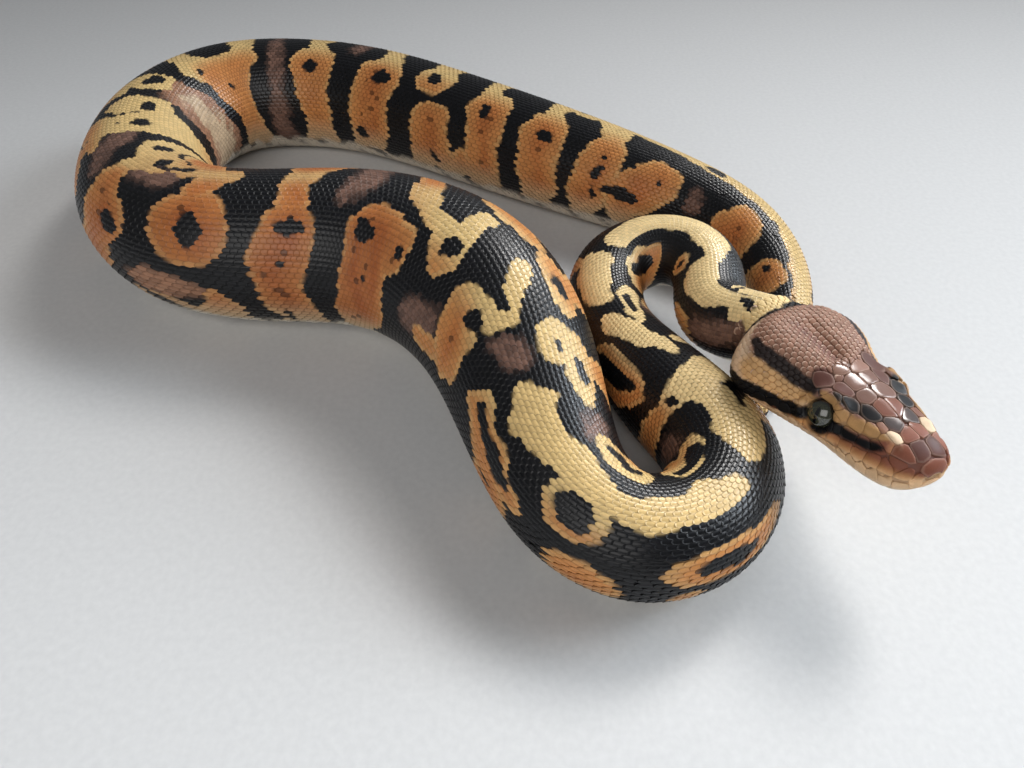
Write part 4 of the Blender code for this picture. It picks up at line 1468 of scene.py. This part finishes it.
def make_head_scales(material):
    """Every scale of the head as a low dome on the head's shape, with a rim that dips under the skin."""
    seeds, fixed = head_seeds()
    place, tail_way, side_way, normal = plate_frames(seeds[:, 0], seeds[:, 1])
    around = np.arange(PLATE_SIDES) * 2 * math.pi / PLATE_SIDES
    edge = outlines(place, tail_way, side_way, normal, seeds[:, 2:4], around)
    edge = np.minimum(edge, LONGEST * np.maximum(seeds[:, 2], seeds[:, 3])[:, None])
    ground, shape = head_ground()
    grains = np.random.default_rng(RNG_SEED + 9).random(len(seeds))
    spots = head_spots(seeds)
    off = off_middle(seeds[:, 0], seeds[:, 1])
    points, faces, hues, corners = [], [], [], []
    base = 0
    for k, (half, middle_of) in enumerate(zip(edge.mean(axis=1), place)):
        rings = PLATE_RINGS if half > LARGE else SMALL_RINGS
        small = half < LARGE and seeds[k, 0] > SMALL_FROM and k >= fixed
        # a place in the middle, the rings, and the last one again for the rim
        out = np.repeat((0.0, *rings, 1.0), (1, *[PLATE_SIDES] * (len(rings) + 1)))
        turn = np.concatenate([[0.0]] + [around] * (len(rings) + 1))
        reach = np.concatenate([[0.0]] + [edge[k] * share for share in (*rings, 1.0)])
        x, y = reach * np.sin(turn), reach * np.cos(turn)
        flat = middle_of + x[:, None] * side_way[k] + y[:, None] * tail_way[k]
        rear = y / max(half, 0.2)
        if small:
            lift = 0.01 - 0.07 * out ** 4 + 0.075 * np.clip(rear, -1, 1)
        else:
            lift = 0.02 - (0.045 if k < fixed and off[k] > 80 else 0.060) * out ** 7
        lift[-PLATE_SIDES:] = -SCALE_DEPTH - 0.08
        found = [ground.find_nearest(p) for p in flat.tolist()]
        at = np.array([f[0] for f in found])
        points.append(at + shape[np.array([f[2] for f in found])] * lift[:, None])
        hue = head_colours(*head_where(at), np.full(len(at), grains[k]))
        if k < fixed and off[k] < 40:       # plates of one colour each
            own = head_colours(seeds[k:k + 1, 0], seeds[k:k + 1, 1], grains[k:k + 1])
            hue = blend(hue, own, np.full(len(at), 0.85))
            # a lighter rim on each dark plate, as a painted highlight along its edge
            hue = blend(hue, PAINTED_TIP_GLINT, 0.16 * ease(out, 0.8, 0.95) * (1 - ease(own[0, 0], 0.3, 0.5)))
        if small:
            # painted highlight: a light crescent at the rear edge of each small scale
            warm = (hue[:, 0] > 0.15) & (hue[:, 0] < 0.5)
            hue = blend(hue, PAINTED_TIP_GLINT, 0.8 * ease(rear, 0.35, 0.80) * ease(out, 0.6, 0.85) * warm)
        hues.append(hue)
        faces += fan(base + 1, PLATE_SIDES, base, True)
        faces += (grid_faces(len(rings) + 1, PLATE_SIDES, True) + base + 1).tolist()
        spread = PATCH_SIZE / 2 * (out + 0.001) / max(edge[k].max(), 1e-6)
        patch = spots[k] + np.stack([x, y], axis=1) * spread[:, None]
        patch[-PLATE_SIDES:] = spots[k] + (patch[-PLATE_SIDES:] - spots[k]) * 1.12
        corners.append(patch)
        base += len(at)
    points = np.concatenate(points)
    thing = mesh_object("scales_head", points, faces, material, np.concatenate(hues),
                        by_corner(corners, faces))
    keep(thing.data, "gloss", "FLOAT", "value", wetness(points))
    return thing


def wetness(points):
    """The shine at places on the head: a wet-looking streak runs down the top of the snout."""
    return along_line(head_ring_points(*head_where(points)) * HEAD_LENGTH, WET_STREAK, 1, 1.0)


def head_ground():
    """The head's shape as a ground for the scales, and a smooth normal for each of its faces."""
    share = np.concatenate([np.linspace(0.002, 0.12, 50), np.linspace(0.125, 1.02, 170)])
    angles = np.arange(0, 360, 1.5) - 180
    grid, _ = head_shape(*np.meshgrid(share, angles, indexing="ij"))
    along = np.gradient(grid, axis=0)
    padded = np.concatenate([grid[:, -1:], grid, grid[:, :1]], axis=1)
    normals = unit(np.cross(padded[:, 2:] - padded[:, :-2], along))
    faces = grid_faces(len(share), len(angles), True)
    tree = BVHTree.FromPolygons(grid.reshape(-1, 3).tolist(), faces.tolist())
    return tree, unit(normals.reshape(-1, 3)[faces].sum(axis=1))


def head_spots(seeds):
    """Where each scale's patch lies on the head's map."""
    return np.stack([0.02 + 0.96 * seeds[:, 0], 0.5 + 0.96 * wrap(seeds[:, 1]) / 360], axis=1)


# ---------------------------------------------------------------- the eyes
EYE_RINGS = 28
EYE_SIDES = 40
GAZE = (0.30, 0.93, 0.16)       # where the left eye looks, in the head's frame


def eye_material():
    """A dark ball with a faint iris and an upright pupil."""
    material, board, surface = new_material("eye")
    gaze = board.kept("gaze", "Vector")
    parts = board.node("ShaderNodeSeparateXYZ", None, {0: gaze}).outputs
    x, y = Wire(board, parts[0]), Wire(board, parts[1])
    ring = (x * x + y * y).power(0.5)
    iris = board.mix((ring * 1.25).clamp(), (0.030, 0.034, 0.020), (0.008, 0.010, 0.008))
    iris = board.mix((board.noise(gaze, 9.0, 4.0) * 1.6 - 0.3).clamp(), iris, (0.050, 0.052, 0.030))
    slit = (x * x) * 60.0 + (y * y) * 2.6
    colour = board.mix((slit * -8.0 + 8.5).clamp(), iris, (0.002, 0.002, 0.003))
    colour = board.mix(((ring - 0.80) * 9.0).clamp(), colour, (0.006, 0.006, 0.006))
    board.give(surface, {"Base Color": colour, "Roughness": 0.12, "Coat Weight": 1.0,
                         "Coat Roughness": 0.03})
    return material


def make_eye(name, side, material):
    """A ball with its pole towards where it looks, and each place's direction kept for the pupil."""
    out = unit(np.array(GAZE) * (1, side, 1))
    up = unit(np.cross(np.cross(out, (0.0, 0.0, 1.0)), out))
    polar = np.linspace(0, math.pi, EYE_RINGS + 1)[1:-1]
    t, a = np.meshgrid(polar, np.arange(EYE_SIDES) * 2 * math.pi / EYE_SIDES, indexing="ij")
    local = np.stack([np.sin(t) * np.cos(a), np.sin(t) * np.sin(a), np.cos(t)], axis=-1).reshape(-1, 3)
    local = np.concatenate([local, [(0, 0, 1), (0, 0, -1)]])
    offset = (local[:, :1] * np.cross(up, out) + local[:, 1:2] * up + local[:, 2:] * out) * EYE_BALL
    points = head_place((eye_centre(side) + offset) / HEAD_LENGTH)
    last, pole = (EYE_RINGS - 2) * EYE_SIDES, (EYE_RINGS - 1) * EYE_SIDES
    faces = grid_faces(EYE_RINGS - 1, EYE_SIDES, True)[:, ::-1].tolist()
    faces += fan(0, EYE_SIDES, pole) + fan(last, EYE_SIDES, pole + 1, True)
    eye = mesh_object(name, points, faces, material)
    keep(eye.data, "gaze", "FLOAT_VECTOR", "vector", local)
    return eye


# ---------------------------------------------------------------- the belly's wide scales
BELLY_PITCH = ((0, 1.7), (60, 1.9), (150, 2.3), (400, 2.3), (440, 2.0), (470, 1.6), (500, 1.1))
BELLY_EDGE = 131.0      # degrees from the back where they start, under the coat's last row
VENT = 452.0            # behind it they are in two rows
BELLY_COLUMNS = 17
SPLIT_COLUMNS = 9
# along one scale: the share of the distance to the next, and the height over the form in millimetres
SCUTE = ((0.0, -0.27), (0.45, -0.15), (0.95, -0.05), (1.18, -0.04), (1.24, -0.12), (1.22, -0.36))


def make_belly(material):
    at = np.arange(0.0, spine.length - 2.0, READ_STEP)
    pitch = curve(BELLY_PITCH, at)
    count = running(READ_STEP / pitch)[:-1]
    draw = np.random.default_rng(RNG_SEED + 3)
    points, hues, faces, corners = [], [], [], []
    base = 0
    for s in np.interp(np.arange(1, int(count[-1])), count, at):
        long = float(np.interp(s, at, pitch))
        whole = s < VENT + 4
        far_edge = 360 - BELLY_EDGE
        spans = ((BELLY_EDGE, far_edge),) if whole else ((BELLY_EDGE, 180.5), (179.5, far_edge))
        for part, (first, last) in enumerate(spans):
            n = BELLY_COLUMNS if whole else SPLIT_COLUMNS
            theta = np.linspace(first, last, n)
            across = np.linspace(-1, 1, n)
            start = s + (0.5 * long if part else 0.0)
            bow = 0.22 * long * (1 - across ** 2)
            tuck = 1 - ease(np.minimum(theta - BELLY_EDGE, far_edge - theta), 0, 9)
            v = 0.5 + (0.0 if whole else 0.7 * (part - 0.5)) + 0.0015 * across
            grain = draw.random()
            for share, depth in SCUTE:
                where = np.clip(start + long * share + bow * share, 0, spine.length - 0.6)
                sunk = (depth * (1 - tuck) - 0.30 * tuck) * min(1.0, long / 1.8)
                angle = theta + roll(where)
                surface = spine.surface(where, angle)
                points.append(surface - unit(spine.place(where) - surface) * sunk[:, None])
                hues.append(body_colours(where, angle, np.full(n, grain)))
                u = 0.02 + 0.96 * s / spine.length + 0.003 * (share / SCUTE[-2][0] - 0.5)
                corners.append(np.stack([np.full(n, u), v], axis=1))
            faces += (grid_faces(len(SCUTE), n, False) + base)[:, ::-1].tolist()
            base += len(SCUTE) * n
    return mesh_object("belly_scutes", np.concatenate(points), faces, material, np.concatenate(hues),
                       by_corner(corners, faces))


# ---------------------------------------------------------------- putting it together
FLESH = ("neck_front", "neck_back", *(f"trunk_{i:02d}" for i in range(1, 11)), "tail", "head", "lower_jaw")
skin = make_skin(material_skin())
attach(skin, "root")
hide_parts(*FLESH)
finish = scaly("scales", 0.30, 0.10, 0.22, 0.28)
for piece in make_coat(finish) + [make_belly(finish)]:
    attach(piece, "root")
face = make_head_scales(scaly("head_scales", 0.52, 0.02, 0.12, 0.16))
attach(face, "root")
wet = eye_material()
for name, side in (("eye_left", 1), ("eye_right", -1)):
    eye = make_eye(name + "_ball", side, wet)
    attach(eye, "root")
    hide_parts(name)
